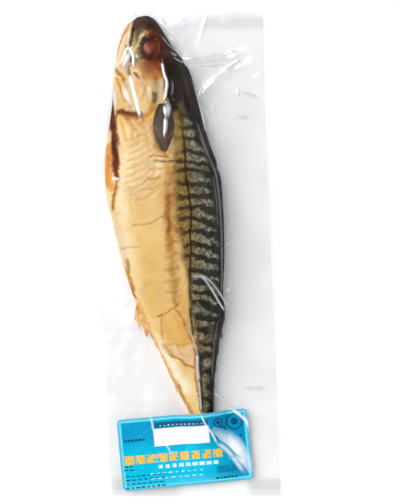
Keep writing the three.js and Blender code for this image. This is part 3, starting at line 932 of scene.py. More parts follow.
def bar_turns(y):
    """How many of the back's dark bars lie between the head and these rows of the pack."""
    line = [(row, column) for column, row in LATERAL_LINE]
    places = [place[1] for place in seen([(through(line, row), row) for row in BARS_AT])]
    return np.interp(-y, -np.array(places), np.arange(len(places)))


def tube_faces(count, rows):
    """Quads that join rings of corners. They face out if the rings run anticlockwise, seen from the first."""
    a = np.arange(rows * count)
    b = a // count * count + (a + 1) % count
    return np.column_stack([a, a + count, b + count, b])


def smoked_body(presser):
    """The fish's whole body and head as one closed skin, flat where it lies on the pouch's lower web."""
    top_share = crowded(np.arange(SKIN_TOP + 1) / SKIN_TOP) * 2 - 1
    share = np.concatenate([top_share, np.linspace(1, -1, SKIN_UNDER + 2)[1:-1]])[None, :]
    count = share.shape[1]
    along = ((BODY_END - BODY_START) * (np.arange(SKIN_ROWS + 1) / SKIN_ROWS) + BODY_START)[:, None]
    along, share = np.broadcast_arrays(along, share)
    upper = np.broadcast_to(np.arange(count) <= SKIN_TOP, along.shape)
    rounding = rounded(along / SNOUT_ROUNDING) * rounded((BODY_END - along) / END_ROUNDING)
    widths = np.minimum(half_width(along, share), STALK_HALF + np.maximum(STALK_END - along, 0) * STALK_TAPER)
    across = share * (widths - SKIN_INSET) * rounding
    x, y = pack_coordinates(along, across)
    guides = row_guides(y)
    under = film_underside(x, y, guides) + SKIN_UNDER_FILM
    top = np.maximum(film_top(x, y, guides) - SKIN_UNDER_FILM, under + THINNEST)
    seam = (top + under) / 2
    closing = np.where(np.isclose(np.abs(share), 1), 0, np.minimum(rounding * CLOSING, 1))
    z = np.where(upper, top, under) * closing + seam * (1 - closing)
    ends = [np.arange(count)[None, :], (SKIN_ROWS * count + np.arange(count)[::-1])[None, :]]
    x, y, z, along, across = (grid.reshape(-1) for grid in (x, y, z, along, across))
    body = make_object("smoked_body", np.column_stack([x, y, z]), [tube_faces(count, SKIN_ROWS)] + ends, {
        "along": along / PLACE_UNIT, "across": across / PLACE_UNIT, "upper": upper.reshape(-1),
        "past_gold": across - side_line(GOLD_ENDS, along),
        "past_line": across - side_line(LATERAL_LINE, along),
        "past_ridge": across - side_line(RIDGE_STARTS, along), "bar_turns": bar_turns(y),
        "touch": touched_colours(x, y)})
    return with_lines(body, presser, 1.6, PRESSED_LINES)


def smoked_skin_material(mottle, wrinkles):
    material, tree, shader = new_material("smoked_skin")
    place = object_place(tree)
    along, across, past_gold, past_line, past_ridge, turns, mark = stored_values(
        tree, "along", "across", "past_gold", "past_line", "past_ridge", "bar_turns", "mark")
    cloud, swirl, waver = noise(place, 34), noise(place, 75, 2), noise(place, 190)
    frayed = noise(place, 560, 3, 0.6)
    grain = noise(object_place(tree, (1, 3.3, 1), 8), 260, 4, 0.6)

    # golden flank and belly
    gold = mixed(cloud.step(0.35, 0.66), linear(228, 189, 128), linear(216, 173, 102))
    gold = mixed((across + cloud.swing(0.2)).step(-0.36, -0.2, 0.6, 0.0), gold, linear(238, 216, 172))
    gold = mixed(along.step(1.6, 2.1, 0.0, 0.35), gold, linear(228, 182, 104))
    gold = mixed(along.step(2.4, 2.7, 0.0, 0.4), gold, linear(242, 220, 176))
    gold = mixed(waver.step(0.5, 0.75, 0.0, 0.25), gold, linear(204, 156, 88))
    # On the shoulder, lighter and darker streaks along its fine wrinkles: painted light and shade of the
    # wrinkles.
    fine = noise(object_place(tree, (5, 1, 1), 38), 620, 3, 0.55)
    shoulder = along.step(0.7, 0.95) * along.step(1.25, 1.5, 1.0, 0.0)
    gold = mixed(shoulder * fine.step(0.45, 0.65, 0.0, 0.4), gold, linear(246, 222, 176))
    gold = mixed(shoulder * fine.step(0.34, 0.5, 0.35, 0.0), gold, linear(198, 146, 88))

    # olive and grey-green back; its dark bars widen towards the ridge
    side = (past_line + waver.swing(5.0)).step(-1.0, 5.0)
    squiggle = noise(place, 300, 2, 0.6, 1.0).step(0.36, 0.72)
    warm = mixed(squiggle, linear(116, 94, 50), linear(160, 136, 78))
    cool = mixed(squiggle, linear(84, 80, 58), linear(160, 154, 122))
    far = mixed(squiggle, linear(50, 52, 46), linear(170, 172, 158))
    back = mixed(side, warm, mixed(past_line.step(3, 24), cool, far))
    turned = turns - past_line * past_line * 0.0011 + (swirl.swing(1.0) + waver.swing(0.7))
    wave = calc("COSINE", turned * FULL_TURN) + frayed.swing(0.7)
    bars = (wave + past_line.step(2, 24, 0.0, 0.95)).step(-0.2, 0.85)
    reach = (past_gold + swirl.swing(8.0)).step(-1.0, 4.5)
    back = mixed(bars * (reach * 0.94), back, mixed(side, linear(58, 42, 22), linear(30, 28, 24)))
    off_line = calc("ABSOLUTE", past_line + waver.swing(1.6))
    back = mixed(off_line.step(0.3, 1.3, 0.9, 0.0), back, linear(34, 26, 16))

    # near-black ridge of the back
    ridge_tone = mixed(grain.step(0.42, 0.7), linear(16, 15, 15), linear(44, 42, 42))
    back = mixed((past_ridge + waver.swing(7.0)).step(-3.5, 1.0), back, ridge_tone)
    edge = past_gold + (frayed.swing(3.0) + swirl.swing(5.0))
    colour = mixed(edge.step(-2.6, 2.4), gold, back)

    # the touches, with frayed edges
    touch = put(tree, "ShaderNodeAttribute", output="Color", attribute_name="touch")
    cover = touch.other_output("Alpha")
    amount = calc("MULTIPLY_ADD", cover * (1.0 - cover), frayed.swing(1.1), cover, clamp=True)
    colour = bent(mixed(amount, bent(colour, 1 / EYE_RESPONSE), touch), EYE_RESPONSE)
    colour = mixed(mark * waver.step(0.3, 0.65, 0.1, 0.6), colour, linear(58, 30, 12))
    fill(shader, {
        "Base Color": mottled(mottle, place, colour, linear(112, 66, 26), 80.0, 0.16, 0.16),
        "Roughness": waver.step(0.3, 0.7, 0.4, 0.6), "Specular IOR Level": 0.06,
        "Normal": wrinkled(wrinkles, object_place(tree, (4, 1, 1), 24), 260.0, 0.5, 0.5, 0.0008)})
    return material


# ---- Eye ----
EYE_INSET, EYE_OVAL = 0.1, 0.05   # mm inside its skin, and how far from round
EYE_LIFT, EYE_BULGE = 0.35, 0.3   # mm over the skin
EYE_DENT, DENT_FALL = 0.25, 2.2   # mm deep in the middle, and how fast that ends
EYE_PUCKER, PUCKER_FROM = 1.9, 0.82
EYE_BELOW = 3


def cooked_eye(material, rings=22, turns=48):
    """A clouded eyeball, dented by the heat, in a puckered ring of skin."""
    share = np.repeat(np.arange(1, rings + 1) / rings, turns)
    angle = np.tile(FULL_TURN * np.arange(turns) / turns, rings)
    centre = np.array(pack_coordinates(*EYE_AT))
    reach = (EYE_RADIUS - EYE_INSET) * share * (1 + EYE_OVAL * np.cos(2 * angle + 0.6))
    x, y = centre[0] + reach * np.cos(angle), centre[1] + reach * np.sin(angle)
    dent = EYE_DENT * np.maximum(0, 1 - share * DENT_FALL) ** 2
    pucker = EYE_PUCKER * np.maximum(0, share - PUCKER_FROM) / (1 - PUCKER_FROM)
    z = film_top(x, y) - SKIN_UNDER_FILM + EYE_LIFT + EYE_BULGE * (1 - share ** 2) - dent - pucker
    base = film_top(*centre[:, None])[0] - SKIN_UNDER_FILM
    top = base + EYE_LIFT + EYE_BULGE - EYE_DENT
    corners = np.vstack([np.column_stack([x, y, z]), [(*centre, top), (*centre, base - EYE_BELOW)]])
    turn, middle, outer = np.arange(turns), rings * turns, (rings - 1) * turns
    following = (turn + 1) % turns
    fans = np.vstack([np.column_stack([np.full(turns, middle), turn, following]),
                      np.column_stack([np.full(turns, middle + 1), outer + following, outer + turn])])
    # The second stored value grows towards the ball's left, where its material paints a highlight.
    eye = make_object("cooked_eye", corners, [tube_faces(turns, rings - 1), fans], {
        "from_middle": np.append(share, [0, 1]), "leftward": np.append(-share * np.cos(angle - 0.3), [0, 0])})
    eye.data.materials.append(material)
    return eye


def cooked_eye_material(mottle):
    material, tree, shader = new_material("cooked_eye")
    place = object_place(tree)
    middle, leftward = stored_values(tree, "from_middle", "leftward")
    reach = middle + (noise(place, 300, 3, 0.6) - 0.5) * 0.5
    ball = mixed(reach.step(0.1, 0.7), linear(134, 56, 38), linear(84, 34, 20))
    # A painted highlight: the ball turns paler pink towards its left side.
    ball = mixed(leftward.step(0.1, 0.6, 0.0, 0.5), ball, linear(190, 112, 92))
    ball = mixed(reach.step(0.78, 1.02), ball, linear(44, 18, 12))
    fill(shader, {
        "Base Color": mottled(mottle, place, ball, linear(88, 36, 26), 260.0, 0.5, 0.2), "Roughness": 0.35,
        "Specular IOR Level": 0.22, "Coat Weight": 0.06, "Coat Roughness": 0.12})
    return material


# ---- Fins ----
FIN_ROWS, COLUMNS_PER_RAY = 28, 6.0
SAME_PLACE = 0.000002             # metres between corners that are one
SEAM_RISE = 3.5                   # mm over the seam to which a fin at the fish's side reaches
# From root to tip, in the photograph.
PECTORAL_LINE, ANAL_LINE = points("163,103 164.8,155"), points("139,305 147.5,334")
TAIL_START, TAIL_ASIDE, TAIL_SPREAD = 305.0, 2.5, 0.42
FINLETS, FINLET_START, FINLET_PITCH = 5, 221, 11.5
FINLET_INSET, FINLET_SPREAD = 2.6, 0.12


def ray_fin_maker(material):
    """A flat fin of soft rays: rows of rays fan out from a root at x = 0 and are joined by a thin web."""
    tree, given, result = new_maker("ray_fin", {
        "Rays": 12, "Length": 0.03, "Side Length": 0.5, "Root Half": 0.003, "Tip Half": 0.007,
        "Thickness": 0.0006, "Ray Height": 0.0004, "Fray": 0.1, "Seed": 1, "Narrowing": 0.0})

    def between(value, low, high):
        return put(tree, "ShaderNodeMapRange", {"Value": value, "To Min": low, "To Max": high})

    grid = put(tree, "GeometryNodeMeshGrid", {
        "Size X": 1.0, "Size Y": 2.0, "Vertices X": FIN_ROWS,
        "Vertices Y": given["Rays"] * COLUMNS_PER_RAY + 1.0}, "Mesh")
    place_x = put(tree, "ShaderNodeSeparateXYZ", {0: put(tree, "GeometryNodeInputPosition")}, "X")
    out, aside = place_x + 0.5, place_x.other_output("Y")
    length = between(calc("ABSOLUTE", aside) ** 1.4, 1.0, given["Side Length"])
    ray = calc("FLOOR", (aside + 1.0) * (given["Rays"] * 0.5))
    uneven = put(tree, "FunctionNodeRandomValue", {2: 0.0, 3: 1.0, "ID": ray, "Seed": given["Seed"]}, 1,
                 data_type="FLOAT")
    reach = length * (1.0 - given["Fray"] * uneven) * given["Length"] * out
    half = (between(out ** 0.8, given["Root Half"], given["Tip Half"])
            * (1.0 - given["Narrowing"] * out ** 2.2))
    ripples = calc("COSINE", (aside + 1.0) * (given["Rays"] * math.pi))
    crest = (ripples + 1.0) * 0.5 * given["Ray Height"]
    position = put(tree, "ShaderNodeCombineXYZ", {
        "X": reach, "Y": aside * half, "Z": crest * between(out, 1.0, 0.35)})
    fin = put(tree, "GeometryNodeSetPosition", {"Geometry": grid, "Position": position})
    fin = keep_value(keep_value(fin, "ray", ripples), "out", out)
    down = put(tree, "ShaderNodeCombineXYZ", {"Z": given["Thickness"] * -1.0})
    under = put(tree, "GeometryNodeExtrudeMesh", {
        "Mesh": fin, "Offset": down, "Offset Scale": 1.0, "Individual": False}, "Mesh", mode="FACES")
    flipped = put(tree, "GeometryNodeFlipFaces", {"Mesh": under})
    both = put(tree, "GeometryNodeJoinGeometry", {0: [fin, flipped]})
    closed = put(tree, "GeometryNodeMergeByDistance", {"Geometry": both, "Distance": SAME_PLACE})
    smooth = put(tree, "GeometryNodeSetShadeSmooth", {"Geometry": closed, "Shade Smooth": True})
    return finish_maker(tree, result, smooth, material)


def smoked_fin_material(mottle):
    material, tree, shader = new_material("smoked_fin")
    place = object_place(tree)
    ray, out = stored_values(tree, "ray", "out")
    web = mixed(out.step(0.1, 0.7), linear(88, 70, 48), linear(50, 34, 28))
    web = mixed(noise(place, 150).step(0.48, 0.66, 0.0, 0.6), web, linear(122, 82, 46))
    colour = mixed(ray.step(-0.2, 0.7, 0.0, 0.7), web, linear(30, 20, 16))
    fill(shader, {"Base Color": mottled(mottle, place, colour, linear(26, 18, 16), 200.0, 0.7, 0.4),
                  "Roughness": 0.45, "Specular IOR Level": 0.2})
    return material


def crisp_fin_material(mottle):
    """The anal fin and the belly's finlets, smoked to orange and brown."""
    material, tree, shader = new_material("crisp_fin")
    place = object_place(tree)
    cloud = noise(place, 150, 4, 0.6)
    colour = mixed(cloud.step(0.38, 0.62), linear(242, 204, 142), linear(216, 142, 70))
    colour = mixed(stored_values(tree, "out")[0].step(0.3, 1.0, 0.0, 0.7), colour, linear(250, 226, 180))
    fill(shader, {"Base Color": mottled(mottle, place, colour, linear(150, 70, 26), 120.0, 0.45, 0.3),
                  "Roughness": 0.45, "Specular IOR Level": 0.2})
    return material


def on_film(lift):
    """The height of the film, and a little more or less."""
    return lambda x, y: film_top(x, y) + lift


def at_seam(lift):
    """The height of a fin that lies against the fish's side between the two webs."""
    return lambda x, y: np.minimum(film_top(x, y), seam_height(fish_coordinates(x, y)[0]) + SEAM_RISE) + lift


def turned_along(turn):
    """The fish's own direction, turned by this many radians."""
    return (ALONG[0] * math.cos(turn) - ALONG[1] * math.sin(turn),
            ALONG[0] * math.sin(turn) + ALONG[1] * math.cos(turn))


# The order in which a fin's sizes are given below; lengths in metres.
FIN_INPUTS = ("Rays", "Length", "Side Length", "Root Half", "Tip Half", "Thickness", "Ray Height", "Fray",
              "Seed", "Narrowing")


def laid_fin(maker, name, root, direction, ground, *sizes):
    return lay(made_by(maker, name, dict(zip(FIN_INPUTS, sizes))), root, direction, ground)


def fins(dark, crisp):
    """The fin on the flank, the tail fin under the label, the anal fin, and the tail stalk's finlets."""
    root, tip = seen(PECTORAL_LINE)
    made = [laid_fin(dark, "pectoral_fin", root, (tip[0] - root[0], tip[1] - root[1]), on_film(-0.3),
                     17, 0.0365, 0.68, 0.003, 0.0116, 0.0005, 0.0003, 0.07, 3, 0.5)]
    for name, side in (("tail_fin_lower", -1), ("tail_fin_upper", 1)):
        root = pack_coordinates(TAIL_START, side * TAIL_ASIDE)
        made.append(laid_fin(dark, name, root, turned_along(side * TAIL_SPREAD), on_film(-0.5),
                             14, 0.031, 0.7, 0.003, 0.0085, 0.0006, 0.0004, 0.08, 5 + side))
    root, tip = seen(ANAL_LINE)
    made.append(laid_fin(crisp, "anal_fin", root, (tip[0] - root[0] - 1.0, tip[1] - root[1]), at_seam(0.0),
                         9, 0.0245, 0.45, 0.0022, 0.0058, 0.0005, 0.0004, 0.35, 9))
    for k in range(FINLETS):
        along = FINLET_START + FINLET_PITCH * k
        for name, side, maker in (("belly", -1, crisp), ("back", 1, dark)):
            root = pack_coordinates(along, side * (float(half_width(along, side)) - FINLET_INSET))
            direction = turned_along(side * FINLET_SPREAD)
            made.append(laid_fin(maker, "finlet_%s_%d" % (name, k + 1), root, direction, at_seam(-0.3),
                                 5, 0.0075, 0.45, 0.002, 0.0012, 0.0004, 0.0003, 0.3, 20 + k))
    return made


# ---- The film ----
FILM_LEFT, FILM_FISH, FILM_RIGHT, FILM_ROWS, FILM_COARSE = 40, 170, 60, 330, 5
LOOSE_RUN = 6                     # mm beside the fish over which the film comes loose
SLACK = ((0.22, 21, 11, 1.6), (0.10, 8, 12, 1.4))
SLACK_AT_END = 0.25               # of the loose film's waves, left at the pouch's ends
SEAL_SOFT = 0.4                   # mm to each side of a seal's edge

# Creases in the film, and flat patches where it shines, that carry painted highlights: half width, height,
# how white the painted highlight is, path in the photograph.
CREASES_AND_PAINTED_GLINTS = table("""
    1 0.2 0.8 136,55.4 137,57.2
    1.2 0.2 0.9 161.3,59 163.6,60.4
    0.9 0.2 0.5 171,52.4 174.6,55 177.4,53.6
    0.7 0.3 0.45 164.4,32 170,41 177,50
    0.8 0.3 0.5 174,58 181,61.6 188,65
    1.4 0.2 0.22 171.8,80 172.2,88 171.6,96
    0.9 0.2 0.7 171.6,99.4 174.6,101
    0.8 0.2 0.45 131.4,24 129,36 126.6,45
    0.8 0.3 0.6 141.6,15.4 136,13.4 131,13.8
    0.9 0.3 0.6 156,14.6 161.6,21 165.6,28
    0.7 0.2 0.4 117,178 119,186
    5.5 0 0.3 122,80 128,94 133,108
    4 0 0.3 131,48 126,62 124,74
    4 0 0.16 148,84 151,96
    4.6 0 0.4 202,90 216,78 238,62
    3.6 0 0.3 190,62 215,60 240,52
    4.5 0 0.3 226,290 232,304
    1.3 0.5 0.8 129.8,43 125.6,51 120,63 116.5,69
    1.1 0.4 0.8 128.7,47.8 132,54 133,60 132.9,66
    2.4 0.5 0.75 114,86 115,97 116,110
    1.9 0.7 1 129,76 131.5,86 133.6,94 136.5,105 140.6,119
    1.2 0.8 1 162.3,62 163.9,72.3 166.9,81.5 166.2,91 164.4,100
    3.4 0.8 0.95 166.6,99 167.2,108 166.2,119
    1.8 0.6 0.85 166,116 165.6,127 164.6,136
    0.9 0.5 0.9 167,35.6 171,38 176.5,42
    0.7 0.4 0.6 159.3,19.5 162.3,28 166,34
    0.9 0.5 0.4 162.3,37 170,46.3 179,54 185,60
    1.6 0.9 0.45 184,58.5 195,58.5 212,56 227,53 236,50
    1.1 0.9 0.9 182.2,60 186.8,65.4 192.2,66.4 206.7,67 225,64.5
    1.2 1.4 1 198.4,98 199.6,92 203,87 209.4,80.5 222.9,71.2 233.3,64 241,60
    0.9 0.7 0.6 202.5,94 206,88 211,83 222,74.5 232,70
    1.2 0.7 0.55 207.5,15 203.6,25.7 200.6,35.6 198.3,43
    0.7 0.6 0.85 198,97 200.4,108 205.5,131
    1.5 0.6 0.8 237.5,87 239.2,96
    1.4 0.5 0.4 242,92.5 250,94.5 259,97.5
    2.4 0.5 0.45 236,116.5 250,117.5
    1 0.4 0.5 213.3,104 215,113
    1 0.4 0.6 217,164 218.8,172
    1.2 0.7 1 227.4,246 229.6,243
    0.7 0.3 0.4 229.8,241 231.5,231
    0.9 1 0.95 191.6,275.9 201.4,276.8 210.4,287.5 219.3,302.7 224.6,310.7
    0.8 0.9 0.75 203,275.9 212,283 220.2,293.8 225.5,303.6 228,310
    0.8 0.6 1 224.2,292.9 231.8,288
    3.2 0.5 0.4 228,298 232,304
    0.8 0.6 0.85 185,325 191.4,335.7 194.6,345 197.5,355
    1.6 0.8 1 197.4,353 197.3,367 198.6,382
    1 0.7 0.9 198.6,380 199.9,393.8 201.3,411.6
    1.2 0.9 0.9 214.6,392.9 222.7,400 236,409.8 241,413
    1.8 0.5 0.5 243,388 265,388
    1.3 0.6 1 112,178.4 117,179 122,179.5
    1 0.3 0.16 199.3,135.4 209,157 215.6,173.4 219.4,200 221.2,227.6 222,260 221.6,292
    0.9 0.3 0.14 196.5,122 204,143 209,158
    0.8 0.2 0.1 213,176 216.5,200 217.8,225
    0.8 0.2 0.12 217.5,322 214.6,340 212.5,365 212,380""")


def clear_pouch(raiser):
    """Both webs of the pouch as one thin closed shell, drawn tight on the fish, with its creases and painted
    highlights.
    """
    columns = FILM_LEFT + FILM_FISH + FILM_RIGHT
    column = np.arange(columns + 1)[None, :]
    y = np.linspace(-POUCH_LENGTH / 2, POUCH_LENGTH / 2, FILM_ROWS + 1)
    left, belly, back, right = (guide[:, None] for guide in row_guides(y))
    x = (left + (belly - left) * np.clip(column / FILM_LEFT, 0, 1)
         + (back - belly) * crowded(np.clip((column - FILM_LEFT) / FILM_FISH, 0, 1))
         + (right - back) * np.clip((column - FILM_LEFT - FILM_FISH) / FILM_RIGHT, 0, 1))
    x, y, *guides = np.broadcast_arrays(x, y[:, None], left, belly, back, right)
    outside = np.clip(np.maximum(guides[1] - x, x - guides[2]) / LOOSE_RUN, 0, 1)
    from_end = smoothstep(POUCH_LENGTH / 2 - np.abs(y), 0, FLAT_NEAR_SEAL)
    slack = ripples(x, y, SLACK) * outside * (SLACK_AT_END + (1 - SLACK_AT_END) * from_end)
    top = film_top(x, y, guides) + slack
    under = film_underside(x, y, guides)
    off_seal = np.abs(np.abs(y) - (POUCH_LENGTH / 2 - SEAL_INSET))
    seal = 1 - smoothstep(off_seal, SEAL_WIDTH / 2 - SEAL_SOFT, SEAL_WIDTH / 2 + SEAL_SOFT)
    pouch = closed_sheet(
        "clear_pouch", columns, FILM_ROWS, flat_corners(x, y, top), flat_corners(x, y, under), FILM_COARSE,
        {"seal": seal.reshape(-1), "outside": outside.reshape(-1)})
    return with_lines(pouch, raiser, 2.0, CREASES_AND_PAINTED_GLINTS)


def clear_film_material(wrinkles):
    material, tree, shader = new_material("clear_film")
    mark, seal, outside = stored_values(tree, "mark", "seal", "outside")
    sheen = put(tree, "ShaderNodeLayerWeight", {"Blend": 0.25}, "Facing") ** 5.0 * 0.28
    loose = outside * noise(object_place(tree), 30).step(0.35, 0.65, 0.03, 0.075)
    base = loose + 0.012 + seal * outside * 0.1
    fill(shader, {
        "Base Color": (0.97, 0.98, 1.0, 1.0), "Metallic": 1.0, "Roughness": mark.step(0.0, 0.6, 0.1, 0.42),
        # Marked creases and patches turn into near-opaque pale mirrors: painted highlights.
        "Alpha": calc("ADD", base + sheen, mark * 0.92, clamp=True),
        "Normal": wrinkled(wrinkles, object_place(tree, (2.5, 1, 1), 40), 90.0, 0.8, 0.3, 0.0006)})
    return material


# ---- The label ----
LABEL_COLUMNS, LABEL_ROWS, LABEL_COARSE = 236, 130, 2
LABEL_FIELD = (61.2, 40)          # mm to each side of its middle within which the label may rest
LABEL_WAVES = ((0.12, 15, 21), (0.05, 6, 22))
# Creases in the label, and the broad glare where it bends over the tail, in rows like those of the film's;
# their mark paints the paper near white, a painted highlight.
LABEL_CREASES_AND_GLARE = table("""
    1 0.6 1 201.3,415.5 206.2,425.5 212,433.4 217,443
    1.8 1 1 231,408.5 240,415 247,422 251.5,433 255.5,452
    1.2 0.5 0.7 150.8,416.5 152.4,424 153.6,432
    0.9 0.4 0.6 165,444 169,449 171.5,456
    9 0.9 1 214,432 226,439 236,448 244,458 250,470
    6 0.5 1 232,456 243,461 250,470
    2.4 0.7 0.7 217,443 226,449 234,458 244,472""")


def label_rest():
    """A height grid that the label rests on: it bridges what bends tighter than the label can."""
    xs, ys = (np.arange(at - half, at + half + 1) for at, half in zip(LABEL_AT, LABEL_FIELD))
    rest = height = film_top(*np.meshgrid(xs, ys))
    near = range(-LABEL_REACH, LABEL_REACH + 1)
    for dx, dy in ((dx, dy) for dx in near for dy in near):
        sag = (dx * dx + dy * dy) / (2 * LABEL_STIFFNESS)
        rest = np.maximum(rest, np.roll(height, (dy, dx), (0, 1)) - sag)
    return xs[0], ys[0], rest


LABEL_REST = label_rest()


def label_top(x, y):
    """The label's printed face with its slight waves, before it is creased."""
    x0, y0, rest = LABEL_REST
    i, j = np.clip(x - x0, 0, rest.shape[1] - 1.001), np.clip(y - y0, 0, rest.shape[0] - 1.001)
    a, b = i.astype(int), j.astype(int)
    u, v = i - a, j - b
    low = rest[b, a] * (1 - u) + rest[b, a + 1] * u
    high = rest[b + 1, a] * (1 - u) + rest[b + 1, a + 1] * u
    return low * (1 - v) + high * v + LABEL_GAP + LABEL_THICKNESS + ripples(x, y, LABEL_WAVES)


def printed_label(raiser):
    width, height = LABEL_SIZE
    up = ((np.arange(LABEL_ROWS + 1) / LABEL_ROWS - 0.5) * height)[:, None]
    corner = np.maximum(0, np.abs(up) - (height / 2 - LABEL_CORNER))
    half = width / 2 - LABEL_CORNER + np.sqrt(np.maximum(LABEL_CORNER ** 2 - corner ** 2, 0))
    along, up = np.broadcast_arrays(half * (np.arange(LABEL_COLUMNS + 1) / LABEL_COLUMNS * 2 - 1), up)
    cos, sin = math.cos(LABEL_TURN), math.sin(LABEL_TURN)
    x, y = LABEL_AT[0] + along * cos - up * sin, LABEL_AT[1] + along * sin + up * cos
    top = flat_corners(x, y, label_top(x, y))
    label = closed_sheet(
        "printed_label", LABEL_COLUMNS, LABEL_ROWS, top, top - [0, 0, LABEL_THICKNESS], LABEL_COARSE,
        {"print_along": along.reshape(-1), "print_up": up.reshape(-1)})
    return with_lines(label, raiser, 2.0, LABEL_CREASES_AND_GLARE, label_top)


def rectangle(along, up, middle, size, soft):
    """A mask of a rectangle on the label, in millimetres."""
    return calc("MULTIPLY", *(
        calc("ABSOLUTE", value - centre).step(extent / 2 - soft, extent / 2 + soft, 1.0, 0.0)
        for value, centre, extent in zip((along, up), middle, size)))


def label_paper_material(wrinkles):
    material, tree, shader = new_material("label_paper")
    along, up, upper, mark = stored_values(tree, "print_along", "print_up", "upper", "mark")
    place = object_place(tree)
    cloud = noise(place, 30, 2)
    fade = up + cloud * 6.0
    blue = mixed(fade.step(-1, 19, 1.0, 0.0), linear(0, 154, 202), linear(0, 192, 226))
    blue = mixed(fade.step(-30, -14, 0.55, 0.0), blue, linear(150, 226, 244))
    blue = mixed(along.step(8, 40, 0.0, 0.75), blue, linear(0, 132, 178))
    width, height = LABEL_SIZE
    colour = linear(88, 188, 216)
    for middle, size, soft, within in [
            ((0, 0), (width - 3.2, height - 3.2), 0.25, linear(122, 228, 250)),
            ((0, 0), (width - 4.6, height - 4.6), 0.2, linear(60, 206, 238)),
            ((0, 0), (width - 6.0, height - 6.0), 0.2, blue),
            ((-1.0, 19.6), (38.5, 3.6), 0.15, linear(0, 96, 140)),
            ((-1.5, 10.6), (40, 12.6), 0.15, linear(250, 250, 252))]:
        colour = mixed(rectangle(along, up, middle, size, soft), colour, within)
    colour = mixed(upper, linear(236, 238, 240), colour)
    # Where it is marked, the paper is painted near white: painted glare along its creases and over its bend.
    fill(shader, {
        "Base Color": mixed(mark * 0.95, colour, linear(252, 254, 255)), "Specular IOR Level": 0.12,
        "Roughness": cloud.step(0.3, 0.7, 0.28, 0.42),
        "Normal": wrinkled(wrinkles, place, 150.0, 0.6, 0.12, 0.0003)})
    return material


# ---- The label's print ----
PRINT_THICKNESS, RING_LINE = 0.04, 0.9
DISC_SHARE = 0.45                 # the radius of the disc inside a ring, as a share of the ring's own
# Name, ink, length, height, number of marks, how full the row is, how uneven in width and in height, and the
# middle of the row's foot in the photograph.
PRINT_ROWS = table("""
    title_row orange 72 6.4 9 0.88 0.25 0.08 174,460.6
    subtitle_row white 45 2.6 9 0.8 0.35 0.1 188.5,466
    strip_marks orange 33 1.0 11 0.55 0.5 0.4 181,424.6
    left_bar dark 16 1.7 6 0.85 0.4 0.2 134.5,441.6
    text_row_1 dark 7 0.9 2 0.85 0.3 0.2 129,467.6
    text_row_2 dark 8 0.9 2 0.85 0.3 0.2 129,471
    text_row_3 dark 30 0.9 8 0.88 0.5 0.3 146,475.8
    text_row_4 dark 30 0.9 7 0.88 0.5 0.3 146,479.6
    text_row_5 dark 28 0.9 7 0.88 0.5 0.3 145,483.6
    text_row_6 dark 30 1.0 8 0.88 0.5 0.3 146,487.4
    side_marks dark 5 1.6 2 0.85 0.3 0.4 239,436.4
    bar_code dark 14.6 5.2 19 0.55 0.6 0.0 227.5,472
    code_marks dark 16 1.6 6 0.8 0.4 0.2 227,478
    middle_marks_1 white 40 0.7 9 0.7 0.5 0.3 177,472
    middle_marks_2 white 40 0.7 8 0.7 0.5 0.3 177,477""")
# Name, radius and middle in the photograph.
PRINT_RINGS = table("""
    print_ring_1 2.9 218,422.6
    print_ring_2 5.6 234.2,421.1
    print_ring_3 4.4 221,433""")


def print_row_maker(material):
    """A row of flat marks along x that stand on y = 0, each of its own width and height."""
    tree, given, result = new_maker("print_row", {
        "Count": 8, "Length": 0.04, "Height": 0.003, "Fill": 0.8, "Uneven Width": 0.2, "Uneven Height": 0.1,
        "Thickness": 0.00004, "Seed": 1})

    def along_row(distance):
        return put(tree, "ShaderNodeCombineXYZ", {"X": distance})

    def shrunk(by, seed_shift):
        inputs = {2: 1.0 - by, 3: 1.0, "Seed": given["Seed"] + seed_shift}
        return put(tree, "FunctionNodeRandomValue", inputs, 1, data_type="FLOAT")

    pitch = given["Length"] / given["Count"]
    feet = put(tree, "GeometryNodeMeshLine", {
        "Count": given["Count"], "Start Location": along_row((pitch - given["Length"]) * 0.5),
        "Offset": along_row(pitch)}, mode="OFFSET")
    size = put(tree, "ShaderNodeCombineXYZ", {
        "X": pitch * given["Fill"] * shrunk(given["Uneven Width"], 0.0),
        "Y": given["Height"] * shrunk(given["Uneven Height"], 7.0), "Z": given["Thickness"]})
    cube = put(tree, "GeometryNodeMeshCube", {
        "Size": (1.0, 1.0, 1.0), "Vertices X": 4, "Vertices Y": 3}, "Mesh")
    standing = put(tree, "GeometryNodeTransform", {"Geometry": cube, "Translation": (0, 0.5, 0)})
    marks = put(tree, "GeometryNodeInstanceOnPoints", {"Points": feet, "Instance": standing, "Scale": size})
    return finish_maker(tree, result, marks, material)


def print_ring_maker(material):
    """A flat ring with a plain disc inside it."""
    tree, given, result = new_maker(
        "print_ring", {"Radius": 0.004, "Line": 0.0008, "Disc Share": 0.5, "Thickness": 0.00004})
    circle = put(tree, "GeometryNodeCurvePrimitiveCircle", {"Resolution": 40, "Radius": given["Radius"]})
    profile = put(tree, "GeometryNodeCurvePrimitiveQuadrilateral", {
        "Width": given["Line"], "Height": given["Thickness"]})
    ring = put(tree, "GeometryNodeCurveToMesh", {"Curve": circle, "Profile Curve": profile})
    disc = put(tree, "GeometryNodeMeshCylinder", {
        "Vertices": 24, "Side Segments": 1, "Fill Segments": 2, "Depth": given["Thickness"],
        "Radius": given["Radius"] * given["Disc Share"]}, "Mesh")
    return finish_maker(tree, result, put(tree, "GeometryNodeJoinGeometry", {0: [ring, disc]}), material)


def printed(maker, name, middle, values):
    """A flat mark laid on the label, with its middle where this pixel of the photograph shows."""
    piece = made_by(maker, name, {**values, "Thickness": PRINT_THICKNESS * MM})
    return lay(piece, *seen(middle, label_top), (math.cos(LABEL_TURN), math.sin(LABEL_TURN)),
               lambda x, y: label_top(x, y) + PRINT_THICKNESS / 2)


